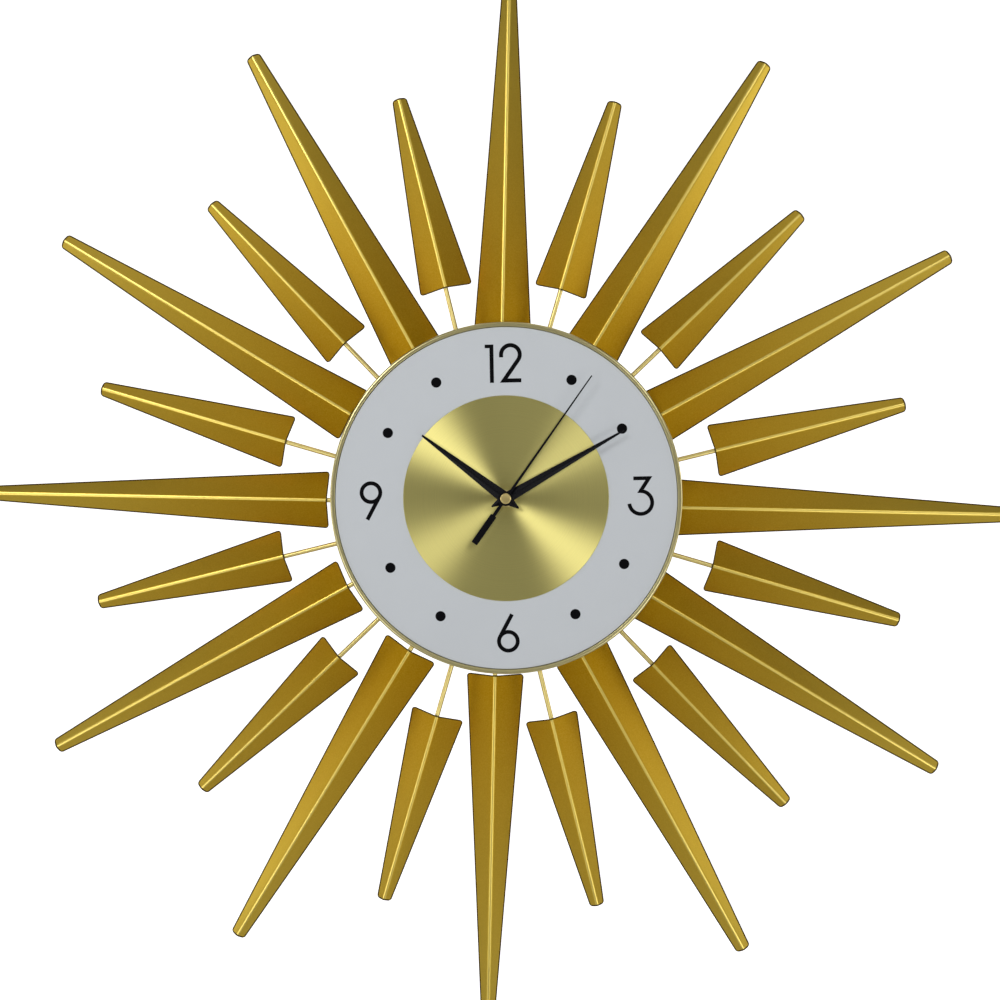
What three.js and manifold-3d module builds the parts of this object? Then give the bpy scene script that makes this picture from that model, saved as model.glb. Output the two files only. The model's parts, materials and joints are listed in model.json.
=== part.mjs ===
// Sunburst wall clock: twenty-four folded sheet rays on a welded rod frame, a round dial with three
// hands, and the battery quartz movement that drives them from behind.
//
// Millimetres. The clock is drawn lying on its back: x to the right, y up the dial, z out of the wall
// towards the viewer, with the hands' axis through the origin. The last group stands it up, so that
// +Z is up, the face looks along -Y and the wall is the plane y = 0.

import * as THREE from "three";
import { mergeVertices } from "three/addons/utils/BufferGeometryUtils.js";
import Module from "manifold-3d";

const wasm = await Module();
wasm.setup();

const HOURS = 12;
const GAP = 0.1; // between flat pieces clamped together
const degrees = Math.PI / 180;

// ---------------------------------------------------------------- driving dimensions

const sheet = 0.8; // ray sheet thickness
const rodRadius = 1.6;
const rodInner = 45;
const rodOuter = 250;
const frameAt = [-5, -3.9]; // the frame's centre: the dial is mounted a little off it, as on the real clock
const raySlope = 32 * degrees; // how far each flange of a ray falls back
const rayApexInner = rodRadius + 0.3; // the fold is formed over the rod
const rayCorner = 2.5;
const longRay = { inner: 118, tip: 349.5, innerHalf: 20.05, tipHalf: 5.2 };
const shortRay = { inner: 152, tip: 284.7, innerHalf: 18.85, tipHalf: 5 };

const caseSize = 56; // the movement's square case
const caseCorner = 4;
const caseWall = 1.2;
const caseFront = 16;
const caseFrontWall = 1;
const coverThick = 1.2;

const washerThick = 0.9;
const hubRadius = 80;
const hubThick = 1.2;
const hubBack = caseFront + washerThick + 2 * GAP;
const hubFront = hubBack + hubThick;
const rodDepth = hubFront + rodRadius - 0.15; // rods are sunk a little into their welds

const dialRadius = 120;
const lipWidth = 3.2;
const panSheet = 0.8;
const panBack = rodDepth + rodRadius + GAP;
const panFloor = panBack + panSheet;
const shoulderRadius = 104; // outside it the pan is raised clear of the rays' inner ends
const shoulderRise = rayApexInner + sheet - rodRadius + 0.2;
const boardThick = 3;
const boardBack = panFloor + shoulderRise + GAP; // the board lies on the pan's shoulder
const boardFront = boardBack + boardThick;
const lipFront = boardFront + 1.4;
const boardRadius = dialRadius - lipWidth - 0.3;
const discRadius = 70;
const discThick = 0.5;
const discBack = boardFront + GAP;
const discFront = discBack + discThick;

const bushRadius = 4;
const bushBore = 2.65;
const bushHole = bushRadius + 0.3;
const nutBack = discFront + 0.5 + 2 * GAP;
const nutThick = 2;
const bushFront = nutBack + nutThick + 0.3;

const hourTube = { bore: 1.72, radius: 2.55, front: bushFront + 1.6 };
const minuteTube = { bore: 0.6, radius: 1.6, front: hourTube.front + 2.7 };
const secondArbor = { radius: 0.48, front: minuteTube.front + 1.9 };

const screwCircle = 62;
const screwAngles = [52.5, 172.5, 292.5];
const screwRadius = 1.5;
const screwClear = screwRadius + 0.3;

// ---------------------------------------------------------------- finishes

function finish(color, roughness, metalness) {
  return new THREE.MeshStandardMaterial({ color, roughness, metalness });
}

const finishes = {
  goldPaint: finish(0x96731a, 0.42, 0.7),
  rodGold: finish(0xb79a3c, 0.35, 0.9),
  panGold: finish(0xb4ab6c, 0.4, 0.9),
  brushedGold: finish(0xb9b26a, 0.32, 1),
  dialWhite: finish(0xc4cace, 0.6, 0),
  handBlack: finish(0x0c0c0e, 0.3, 0.1),
  brass: finish(0xc9a94a, 0.3, 1),
  steel: finish(0xa9acb0, 0.35, 1),
  rubber: finish(0x1b1b1b, 0.9, 0),
  casePlastic: finish(0x17181a, 0.5, 0),
  gearPlastic: finish(0xe8e4d8, 0.5, 0),
  boardGreen: finish(0x2f6b3a, 0.6, 0),
  copper: finish(0xa5562c, 0.4, 0.8),
  magnet: finish(0x4a4b4f, 0.5, 0.6),
  batteryGreen: finish(0x3d6e52, 0.4, 0.2),
};

// ---------------------------------------------------------------- shape helpers

// A flat outline from its corner points.
function outline(points) {
  return new THREE.Shape(points.map(([x, y]) => new THREE.Vector2(x, y)));
}

function circleHole(x, y, radius) {
  return new THREE.Path().absarc(x, y, radius, 0, 2 * Math.PI, true);
}

function rectangle(x0, x1, y0, y1) {
  return outline([[x0, y0], [x1, y0], [x1, y1], [x0, y1]]);
}

function roundedSquare(size, corner) {
  const half = size / 2;
  const inner = half - corner;
  const shape = new THREE.Shape();
  shape.absarc(inner, inner, corner, 0, Math.PI / 2);
  shape.absarc(-inner, inner, corner, Math.PI / 2, Math.PI);
  shape.absarc(-inner, -inner, corner, Math.PI, 1.5 * Math.PI);
  shape.absarc(inner, -inner, corner, 1.5 * Math.PI, 2 * Math.PI);
  return shape;
}

// An outline given thickness from one depth to another.
function slab(shape, from, to, curveSegments = 6) {
  const geometry = new THREE.ExtrudeGeometry(shape, {
    depth: to - from,
    bevelEnabled: false,
    curveSegments,
  });
  return geometry.translate(0, 0, from);
}

// A turned piece about the z axis, from [radius, depth] pairs.
function turned(profile, sides) {
  const points = profile.map(([radius, depth]) => new THREE.Vector2(radius, depth));
  return new THREE.LatheGeometry(points, sides).rotateX(Math.PI / 2);
}

// A round tube about the z axis.
function tube(bore, radius, from, to, sides = 24) {
  return turned([[bore, from], [radius, from], [radius, to], [bore, to], [bore, from]], sides);
}

// A solid round bar along z.
function bar(radius, from, to, sides = 12, x = 0, y = 0) {
  const geometry = new THREE.CylinderGeometry(radius, radius, to - from, sides);
  return geometry.rotateX(Math.PI / 2).translate(x, y, (from + to) / 2);
}

function block(x0, x1, y0, y1, z0, z1) {
  const geometry = new THREE.BoxGeometry(x1 - x0, y1 - y0, z1 - z0);
  return geometry.translate((x0 + x1) / 2, (y0 + y1) / 2, (z0 + z1) / 2);
}

// ---------------------------------------------------------------- joins and cuts

function solid(geometry) {
  const bare = geometry.clone();
  bare.deleteAttribute("normal");
  bare.deleteAttribute("uv");
  const merged = mergeVertices(bare, 1e-4);
  const corners = [];
  for (let i = 0; i < merged.index.count; i += 3) {
    const [a, b, c] = [0, 1, 2].map((k) => merged.index.getX(i + k));
    if (a !== b && b !== c && c !== a) corners.push(a, b, c);
  }
  return new wasm.Manifold(new wasm.Mesh({
    numProp: 3,
    vertProperties: new Float32Array(merged.attributes.position.array),
    triVerts: new Uint32Array(corners),
  }));
}

function surface(body) {
  const mesh = body.getMesh();
  const geometry = new THREE.BufferGeometry();
  geometry.setAttribute("position", new THREE.BufferAttribute(mesh.vertProperties, 3));
  geometry.setIndex(new THREE.BufferAttribute(mesh.triVerts, 1));
  return geometry;
}

function join(...geometries) {
  return surface(geometries.map(solid).reduce((all, next) => all.add(next)));
}

function cut(geometry, ...tools) {
  return surface(tools.map(solid).reduce((left, tool) => left.subtract(tool), solid(geometry)));
}

function overlap(a, b) {
  return surface(solid(a).intersect(solid(b)));
}

// ---------------------------------------------------------------- folded sheet

// A strip of sheet folded along its middle, drawn pointing up the y axis: the fold is an arc about
// the y axis, the flanges fall back at the slope, and the outline trims it in plan.
function foldedStrip(plan, from, to, half, innerRadius, thickness, slope) {
  const outer = innerRadius + thickness;
  const left = Math.PI / 2 + slope;
  const right = Math.PI / 2 - slope;
  const reach = half + 1;
  const fall = (radius) => radius * Math.sin(right)
    - (reach - radius * Math.cos(right)) * Math.tan(slope);
  const section = new THREE.Shape();
  section.moveTo(-reach, fall(outer));
  section.absarc(0, 0, outer, left, right, true);
  section.lineTo(reach, fall(outer));
  section.lineTo(reach, fall(innerRadius));
  section.absarc(0, 0, innerRadius, right, left, false);
  section.lineTo(-reach, fall(innerRadius));
  const strip = new THREE.ExtrudeGeometry(section, {
    depth: to - from + 2,
    bevelEnabled: false,
    curveSegments: 2,
  });
  strip.rotateX(Math.PI / 2).translate(0, to + 1, 0);
  const depth = reach * 2;
  return overlap(strip, slab(plan, -depth, depth, 2));
}

// A ray's plan: wide and round-cornered at the inner end, narrow and square at the tip.
function rayPlan({ inner, tip, innerHalf, tipHalf }) {
  const taper = (innerHalf - tipHalf) / (tip - inner);
  const shape = new THREE.Shape();
  shape.moveTo(-innerHalf + rayCorner, inner);
  shape.lineTo(innerHalf - rayCorner, inner);
  shape.quadraticCurveTo(innerHalf, inner, innerHalf - rayCorner * taper, inner + rayCorner);
  shape.lineTo(tipHalf, tip);
  shape.lineTo(-tipHalf, tip);
  shape.lineTo(-innerHalf + rayCorner * taper, inner + rayCorner);
  shape.quadraticCurveTo(-innerHalf, inner, -innerHalf + rayCorner, inner);
  return shape;
}

function ray(size) {
  const { inner, tip, innerHalf } = size;
  const strip = foldedStrip(rayPlan(size), inner, tip, innerHalf, rayApexInner, sheet, raySlope);
  return strip.translate(0, 0, rodDepth);
}

// ---------------------------------------------------------------- gears

// Straight-flanked teeth, thin enough to run with play. The phase is one tooth's angle.
function gearOutline(teeth, module, phase, bore = 0) {
  const pitch = teeth * module / 2;
  const tip = pitch + 0.85 * module;
  const root = pitch - 1.2 * module;
  const step = 2 * Math.PI / teeth;
  const flank = [[root, -0.26], [tip, -0.1], [tip, 0.1], [root, 0.26]];
  const points = [];
  for (let tooth = 0; tooth < teeth; tooth += 1) {
    for (const [radius, share] of flank) {
      const angle = phase + (tooth + share) * step;
      points.push([radius * Math.cos(angle), radius * Math.sin(angle)]);
    }
  }
  const shape = outline(points);
  if (bore > 0) shape.holes.push(circleHole(0, 0, bore));
  return shape;
}

function gear(teeth, module, phase, from, to, bore = 0) {
  return slab(gearOutline(teeth, module, phase, bore), from, to, 4);
}

// The phase that puts a driven gear's tooth space on the driving gear's tooth. Heading is the
// direction from the driving gear's centre to the driven one's.
function meshedPhase(driver, driven, module, heading, phase) {
  const arc = (phase - heading) * driver * module / 2 + Math.PI * module / 2;
  return heading + Math.PI - arc / (driven * module / 2);
}

// Teeth and layers of the going train, from the stepping rotor to the hour tube.
const train = {
  rotorPinion: 8, stepWheel: 48,
  stepPinion: 8, secondWheel: 40,
  secondPinion: 6, thirdWheel: 48,
  thirdPinion: 6, centreWheel: 45,
  cannonPinion: 12, minuteWheel: 36,
  minutePinion: 10, hourWheel: 40,
  knobPinion: 10,
};

const rotorModule = 0.34;
const stepModule = 0.42;
const thirdModule = 0.42;
const thirdDistance = (train.secondPinion + train.thirdWheel) * thirdModule / 2;
const centreModule = 2 * thirdDistance / (train.thirdPinion + train.centreWheel);
const motionModule = 0.4;
const motionDistance = (train.cannonPinion + train.minuteWheel) * motionModule / 2;
const hourModule = 2 * motionDistance / (train.minutePinion + train.hourWheel);

const stepDistance = (train.stepPinion + train.secondWheel) * stepModule / 2;
const rotorDistance = (train.rotorPinion + train.stepWheel) * rotorModule / 2;
const knobDistance = (train.knobPinion + train.minuteWheel) * motionModule / 2;

const heading = {
  stepFromAxis: 60 * degrees,
  rotorFromStep: 20 * degrees,
  thirdFromAxis: 150 * degrees,
  minuteFromAxis: 0,
  knobFromMinute: -20 * degrees,
};

function away(from, distance, angle) {
  return [from[0] + distance * Math.cos(angle), from[1] + distance * Math.sin(angle)];
}

const axis = [0, 0];
const stepAt = away(axis, stepDistance, heading.stepFromAxis);
const rotorAt = away(stepAt, rotorDistance, heading.rotorFromStep);
const thirdAt = away(axis, thirdDistance, heading.thirdFromAxis);
const minuteAt = away(axis, motionDistance, heading.minuteFromAxis);
const knobAt = away(minuteAt, knobDistance, heading.knobFromMinute);

const stepPhase = meshedPhase(
  train.rotorPinion, train.stepWheel, rotorModule, heading.rotorFromStep + Math.PI, 0,
);
const secondPhase = meshedPhase(
  train.stepPinion, train.secondWheel, stepModule, heading.stepFromAxis + Math.PI, 0,
);
const thirdPhase = meshedPhase(
  train.secondPinion, train.thirdWheel, thirdModule, heading.thirdFromAxis, 0,
);
const centrePhase = meshedPhase(
  train.thirdPinion, train.centreWheel, centreModule, heading.thirdFromAxis + Math.PI, 0,
);
const minutePhase = meshedPhase(
  train.cannonPinion, train.minuteWheel, motionModule, heading.minuteFromAxis, 0,
);
const hourPhase = meshedPhase(
  train.minutePinion, train.hourWheel, hourModule, heading.minuteFromAxis + Math.PI, 0,
);
const knobPhase = meshedPhase(
  train.minuteWheel, train.knobPinion, motionModule, heading.knobFromMinute, minutePhase,
);

// Depth of each layer inside the case, back to front.
const layer = {
  bridge: [2.2, 3],
  rotorPinion: [3.4, 4.4],
  stepWheel: [3.6, 4.2],
  board: [4, 4.8],
  stepPinion: [5.2, 6.2],
  secondWheel: [5.4, 6],
  magnet: [5.2, 8],
  stator: [6.3, 7.1],
  secondPinion: [7.3, 8.4],
  thirdWheel: [7.6, 8.1],
  midPlate: [8.55, 9.15],
  thirdPinion: [9.4, 10.3],
  centreWheel: [9.6, 10.1],
  cannonPinion: [10.9, 12.6],
  minuteWheel: [11.4, 12],
  minutePinion: [11.9, 14.2],
  hourWheel: [13, 13.7],
};
const pivotRadius = 0.35;
const pivotHole = 0.5;
const wheelPost = 0.8;
const wheelBore = wheelPost + 0.2;
const knobRadius = 5;
const knobHole = knobRadius + 0.5;
const stemRadius = 1;

// ---------------------------------------------------------------- the assembly

const group = new THREE.Group();
const clock = new THREE.Group();
clock.rotation.x = Math.PI / 2;
group.add(clock);

function place(name, geometry, material, [x, y] = axis, turn = 0) {
  const mesh = new THREE.Mesh(geometry, material);
  mesh.name = name;
  mesh.position.set(x, y, 0);
  mesh.rotation.z = turn;
  clock.add(mesh);
}

// Clockwise from twelve, as a turn about +z.
function clockwise(angle) {
  return -angle * degrees;
}

// ---------------------------------------------------------------- rays and their frame

function buildRays() {
  const longShape = ray(longRay);
  const shortShape = ray(shortRay);
  const spacing = 360 / HOURS;
  for (let hour = 1; hour <= HOURS; hour += 1) {
    const label = String(hour).padStart(2, "0");
    place(`long_ray_${label}`, longShape, finishes.goldPaint, frameAt, clockwise(hour * spacing));
    const between = (hour + 0.5) * spacing;
    place(`short_ray_${label}`, shortShape, finishes.goldPaint, frameAt, clockwise(between));
  }
}

// The hub plate with one rod for every ray welded across its front.
function buildFrame() {
  const rods = [];
  const length = rodOuter - rodInner;
  for (let i = 0; i < 2 * HOURS; i += 1) {
    const rod = new THREE.CylinderGeometry(rodRadius, rodRadius, length, 8);
    rod.translate(0, rodInner + length / 2, rodDepth);
    rods.push(rod.rotateZ(clockwise(i * 180 / HOURS)).translate(...frameAt, 0));
  }
  const disc = new THREE.Shape().absarc(...frameAt, hubRadius, 0, 2 * Math.PI);
  disc.holes.push(circleHole(...axis, bushHole));
  const hub = slab(disc, hubBack, hubFront, 24);
  place("ray_frame", cut(join(hub, ...rods), ...screwHoles(hubBack, hubFront)), finishes.rodGold);
}

function screwPlaces() {
  return screwAngles.map((angle) => away(frameAt, screwCircle, angle * degrees));
}

function screwHoles(from, to) {
  return screwPlaces().map(([x, y]) => bar(screwClear, from - 1, to + 1, 10, x, y));
}

// ---------------------------------------------------------------- dial

function buildDial() {
  const wall = dialRadius - lipWidth;
  const shoulderBack = panBack + shoulderRise;
  const pan = turned([
    [bushHole, panBack],
    [shoulderRadius, panBack],
    [shoulderRadius + 1.5, shoulderBack],
    [dialRadius - 1, shoulderBack],
    [dialRadius, shoulderBack + 1],
    [dialRadius, lipFront - 1.4],
    [dialRadius - 0.6, lipFront - 0.4],
    [dialRadius - 1.8, lipFront],
    [wall + 0.3, lipFront - 0.3],
    [wall, lipFront - 0.9],
    [wall, shoulderBack + panSheet],
    [shoulderRadius + 1, shoulderBack + panSheet],
    [shoulderRadius - 0.5, panFloor],
    [bushHole, panFloor],
    [bushHole, panBack],
  ], 60);
  place("dial_pan", cut(pan, ...screwHoles(panBack, panFloor)), finishes.panGold);

  const board = tube(bushHole, boardRadius, boardBack, boardFront, 60);
  const threads = screwPlaces().map(
    ([x, y]) => bar(screwClear, boardBack - 1, boardFront - 0.6, 10, x, y),
  );
  place("dial_board", cut(board, ...threads), finishes.dialWhite);
  place("centre_disc", tube(bushHole, discRadius, discBack, discFront, 60), finishes.brushedGold);

  screwPlaces().forEach((spot, i) => {
    const head = bar(2.8, hubBack - 1.7, hubBack - GAP, 12);
    const shank = bar(screwRadius, hubBack - 0.5, boardFront - 0.9, 10);
    place(`pan_screw_${i + 1}`, join(head, shank), finishes.steel, spot);
  });

  const washerFront = discFront + GAP + 0.5;
  place("bush_washer", tube(bushHole, 5.6, discFront + GAP, washerFront), finishes.steel);
  const nut = new THREE.Shape();
  const corner = 11 / Math.sqrt(3);
  for (let i = 0; i < 6; i += 1) {
    const angle = i * Math.PI / 3;
    const point = [corner * Math.cos(angle), corner * Math.sin(angle)];
    if (i === 0) nut.moveTo(...point);
    else nut.lineTo(...point);
  }
  nut.holes.push(circleHole(0, 0, bushHole - 0.1));
  place("bush_nut", slab(nut, nutBack, nutBack + nutThick, 8), finishes.brass);
  const rubber = tube(bushHole, 11, caseFront + GAP, caseFront + GAP + washerThick);
  place("rubber_washer", rubber, finishes.rubber);
}

// ---------------------------------------------------------------- hanger

// A keyhole strip stepped back from the hub plate towards the wall.
const hanger = {
  half: 12, foot: 33, riser: 45, top: 68, thick: 1.2, back: 5,
  holeAt: 54, holeRadius: 5, slotAt: 62, slotRadius: 2.4,
};

function buildHanger() {
  const { half, foot, riser, top, thick, back } = hanger;
  const front = hubBack - GAP;
  const base = block(-half, half, foot, riser + thick, front - thick, front);
  const web = block(-half, half, riser, riser + thick, back, front);
  const tab = block(-half, half, riser, top, back, back + thick);
  const through = [back - 1, back + thick + 1];
  const hole = bar(hanger.holeRadius, ...through, 16, 0, hanger.holeAt);
  const end = bar(hanger.slotRadius, ...through, 12, 0, hanger.slotAt);
  const slot = block(
    -hanger.slotRadius, hanger.slotRadius, hanger.holeAt, hanger.slotAt, ...through,
  );
  place("hanger", cut(join(base, web, tab), hole, slot, end), finishes.steel);
}

// ---------------------------------------------------------------- movement case

const bay = { low: -26.6, high: -11.7, half: 26.2, ribTop: -10.4, ribHalf: 24.9 };
const pillars = [[-18.5, -6], [-18.5, 15], [21, 5], [21, 15]];
const spacers = [[-14, -6.5], [22.8, 8], [12.5, 2.2]];

function buildCase() {
  const inner = caseSize / 2 - caseWall;
  const back = coverThick + GAP;
  const ceiling = caseFront - caseFrontWall;
  const shell = slab(roundedSquare(caseSize, caseCorner), back, caseFront, 3);
  const cavity = slab(roundedSquare(2 * inner, caseCorner - caseWall), back - 1, ceiling, 3);
  const hollow = cut(shell, cavity, bar(bushHole - 0.1, 0, caseFront + 1, 24));
  const rib = block(-bay.ribHalf, bay.ribHalf, bay.high + GAP, bay.ribTop, back + 0.4, ceiling + 0.2);
  const posts = pillars.map(
    ([x, y]) => bar(1.8, layer.midPlate[1] + 0.2, ceiling + 0.2, 10, x, y),
  );
  const minutePost = bar(wheelPost, 11, ceiling + 0.2, 10, ...minuteAt);
  const bosses = [thirdAt, knobAt].map(
    ([x, y]) => bar(1.6, 12.8, ceiling + 0.2, 10, x, y),
  );
  const sockets = [thirdAt, knobAt].map(([x, y]) => bar(pivotHole, 11, 14.6, 8, x, y));
  const built = cut(join(hollow, rib, minutePost, ...posts, ...bosses), ...sockets);
  place("front_case", built, finishes.casePlastic);

  const plate = roundedSquare(caseSize, caseCorner);
  plate.holes.push(circleHole(...knobAt, knobHole));
  const opening = rectangle(-bay.half, bay.half, bay.low, bay.high);
  plate.holes.push(new THREE.Path(opening.getPoints().reverse()));
  const catches = [-15, 15].map(
    (x) => block(x - 2.5, x + 2.5, inner - 1.3, inner - 0.4, coverThick - 0.2, 6),
  );
  const cover = join(slab(plate, 0, coverThick, 6), ...catches);
  place("rear_cover", cover, finishes.casePlastic);

  const bush = turned([
    [bushBore, 14.2],
    [5.5, 14.2],
    [5.5, ceiling - GAP],
    [bushRadius, ceiling - GAP],
    [bushRadius, bushFront],
    [bushBore, bushFront],
    [bushBore, 14.2],
  ], 24);
  place("threaded_bush", bush, finishes.brass);
}

function buildPlates() {
  const mid = rectangle(-21.5, 24, -8.5, 17.8);
  mid.holes.push(circleHole(0, 0, 0.8));
  mid.holes.push(circleHole(...thirdAt, pivotHole + 0.3));
  mid.holes.push(circleHole(...knobAt, stemRadius + 0.3));
  mid.holes.push(circleHole(...stepAt, pivotHole));
  mid.holes.push(circleHole(...rotorAt, pivotHole));
  const [midBack, midFront] = layer.midPlate;
  const legs = spacers.map(([x, y]) => bar(1, layer.bridge[1] + GAP, midBack + 0.2, 10, x, y));
  place("mid_plate", join(slab(mid, midBack, midFront, 4), ...legs), finishes.gearPlastic);

  const bridge = outline([
    [-16.5, -9], [-10, -9], [2.5, -4], [11, 0], [12.5, 0.4], [14.2, 1.6], [15, 5.6], [24.8, 5.6],
    [24.8, 14.5], [8, 15], [-9, 13], [-13, 8], [-16.5, -2],
  ]);
  for (const [x, y] of [axis, thirdAt, stepAt, rotorAt]) {
    bridge.holes.push(circleHole(x, y, pivotHole + 0.05));
  }
  place("train_bridge", slab(bridge, ...layer.bridge, 4), finishes.gearPlastic);
}

// ---------------------------------------------------------------- electrics

const battery = { radius: 7.1, y: -19.1, depth: 7.75, from: -24.6, to: 24.6, nub: 25.7 };

// A round bar along x.
function barAlongX(radius, from, to, y, depth, sides = 16) {
  const geometry = new THREE.CylinderGeometry(radius, radius, to - from, sides);
  return geometry.rotateZ(Math.PI / 2).translate((from + to) / 2, y, depth);
}

function buildElectrics() {
  const board = rectangle(-25.5, -12.6, -4, 24);
  place("circuit_board", slab(board, ...layer.board), finishes.boardGreen);
  const can = new THREE.CylinderGeometry(1, 1, 6, 10);
  const canDepth = layer.board[0] - 1 - GAP;
  place("quartz_crystal", can.translate(-20, 12, canDepth), finishes.steel);

  const coil = { from: -8, to: 16, y: 21.6, depth: 6.7, flange: 3.6, winding: 3 };
  const spool = [
    barAlongX(coil.winding, coil.from, coil.to, coil.y, coil.depth, 14),
    barAlongX(coil.flange, coil.from, coil.from + 1, coil.y, coil.depth, 14),
    barAlongX(coil.flange, coil.to - 1, coil.to, coil.y, coil.depth, 14),
  ];
  const [statorBack, statorFront] = layer.stator;
  const coreBack = statorFront + GAP;
  const core = block(-12.2, 21.2, coil.y - 1.5, coil.y + 1.5, coreBack, coreBack + 0.8);
  place("coil", join(...spool, core), finishes.copper);

  const stator = outline([
    [8.5, 6.8], [20, 6.8], [21.5, 9], [21.5, 24.5], [17.2, 24.5], [17.2, 17.2], [-8.8, 17.2],
    [-8.8, 24.5], [-12.4, 24.5], [-12.4, 14.9], [8.5, 14.9],
  ]);
  stator.holes.push(circleHole(...rotorAt, 3.4));
  place("stator", slab(stator, statorBack, statorFront, 8), finishes.steel);

  const wall = caseSize / 2 - caseWall;
  const strip = { low: -24, high: -5, back: 3.5, front: 12.5, thick: 0.5 };
  const plate = (x) => block(x, x + strip.thick, strip.low, strip.high, strip.back, strip.front);
  place("contact_positive", plate(wall - 0.8), finishes.steel);
  const spring = new THREE.CylinderGeometry(2.4, 3.6, 1.3, 12);
  spring.rotateZ(-Math.PI / 2).translate(battery.from - 0.3 - 0.65, battery.y, battery.depth);
  place("contact_negative", join(plate(0.3 - wall), spring), finishes.steel);

  const cell = barAlongX(battery.radius, battery.from, battery.to, battery.y, battery.depth, 20);
  const nub = barAlongX(2.6, battery.to - 0.2, battery.nub, battery.y, battery.depth, 12);
  place("battery", join(cell, nub), finishes.batteryGreen);
}

// ---------------------------------------------------------------- gear train

function buildTrain() {
  const white = finishes.gearPlastic;
  const rear = layer.bridge[0] + GAP;

  const rotor = join(
    gear(train.rotorPinion, rotorModule, 0, ...layer.rotorPinion),
    bar(2.8, ...layer.magnet, 16),
    bar(pivotRadius, rear, layer.midPlate[1], 8),
  );
  place("rotor", rotor, finishes.magnet, rotorAt);

  const step = join(
    gear(train.stepWheel, rotorModule, stepPhase, ...layer.stepWheel),
    gear(train.stepPinion, stepModule, 0, ...layer.stepPinion),
    bar(pivotRadius, rear, layer.midPlate[1], 8),
    bar(1, layer.stepWheel[0] + 0.1, layer.stepPinion[0] + 0.1, 10),
  );
  place("step_wheel", step, white, stepAt);

  const second = join(
    gear(train.secondWheel, stepModule, secondPhase, ...layer.secondWheel),
    gear(train.secondPinion, thirdModule, 0, ...layer.secondPinion),
    bar(secondArbor.radius, rear, secondArbor.front, 10),
  );
  place("second_wheel", second, white);

  const third = join(
    gear(train.thirdWheel, thirdModule, thirdPhase, ...layer.thirdWheel),
    gear(train.thirdPinion, centreModule, 0, ...layer.thirdPinion),
    bar(pivotRadius, rear, 13.6, 8),
  );
  place("third_wheel", third, white, thirdAt);

  const { bore, radius, front } = minuteTube;
  const inWall = (bore + radius) / 2;
  const centre = join(
    gear(train.centreWheel, centreModule, centrePhase, ...layer.centreWheel, inWall),
    gear(train.cannonPinion, motionModule, 0, ...layer.cannonPinion, inWall),
    tube(bore, radius, layer.centreWheel[0] - 0.2, front, 16),
  );
  place("centre_wheel", centre, white);

  const minute = join(
    gear(train.minuteWheel, motionModule, minutePhase, ...layer.minuteWheel, wheelBore),
    gear(train.minutePinion, hourModule, 0, ...layer.minutePinion, wheelBore),
  );
  place("minute_wheel", minute, white, minuteAt);

  const hourInWall = (hourTube.bore + hourTube.radius) / 2;
  const hour = join(
    gear(train.hourWheel, hourModule, hourPhase, ...layer.hourWheel, hourInWall),
    tube(hourTube.bore, hourTube.radius, layer.hourWheel[0] - 0.2, hourTube.front, 24),
  );
  place("hour_wheel", hour, white);

  const grip = gearOutline(24, 2 * knobRadius / 26, 0);
  const knob = join(
    slab(grip, 0.3, 2.9),
    bar(stemRadius, 2.8, 12.3, 10),
    gear(train.knobPinion, motionModule, knobPhase, 11, 12.4),
    bar(pivotRadius, 12.3, 14, 8),
  );
  place("setting_knob", knob, white, knobAt);
}

// ---------------------------------------------------------------- hands

const handSheet = 0.4;
const handSlope = 14 * degrees;
const handFold = 0.3;
const hourHand = { length: 71, tail: 11, half: 4.3, tip: 0.7, turn: 305.8 };
const minuteHand = { length: 92, tail: 11, half: 3.9, tip: 0.6, turn: 58.8 };
const secondHand = { length: 101, tail: 37, weightFrom: 14, turn: 33.8, depth: 0.5 };

// A long kite: a tapering blade with a short pointed tail, folded along its middle.
function blade({ length, tail, half, tip }) {
  const plan = outline([[-half, 0], [-0.5, -tail], [0.5, -tail], [half, 0], [tip, length], [-tip, length]]);
  return foldedStrip(plan, -tail, length, half, handFold, handSheet, handSlope);
}

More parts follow.
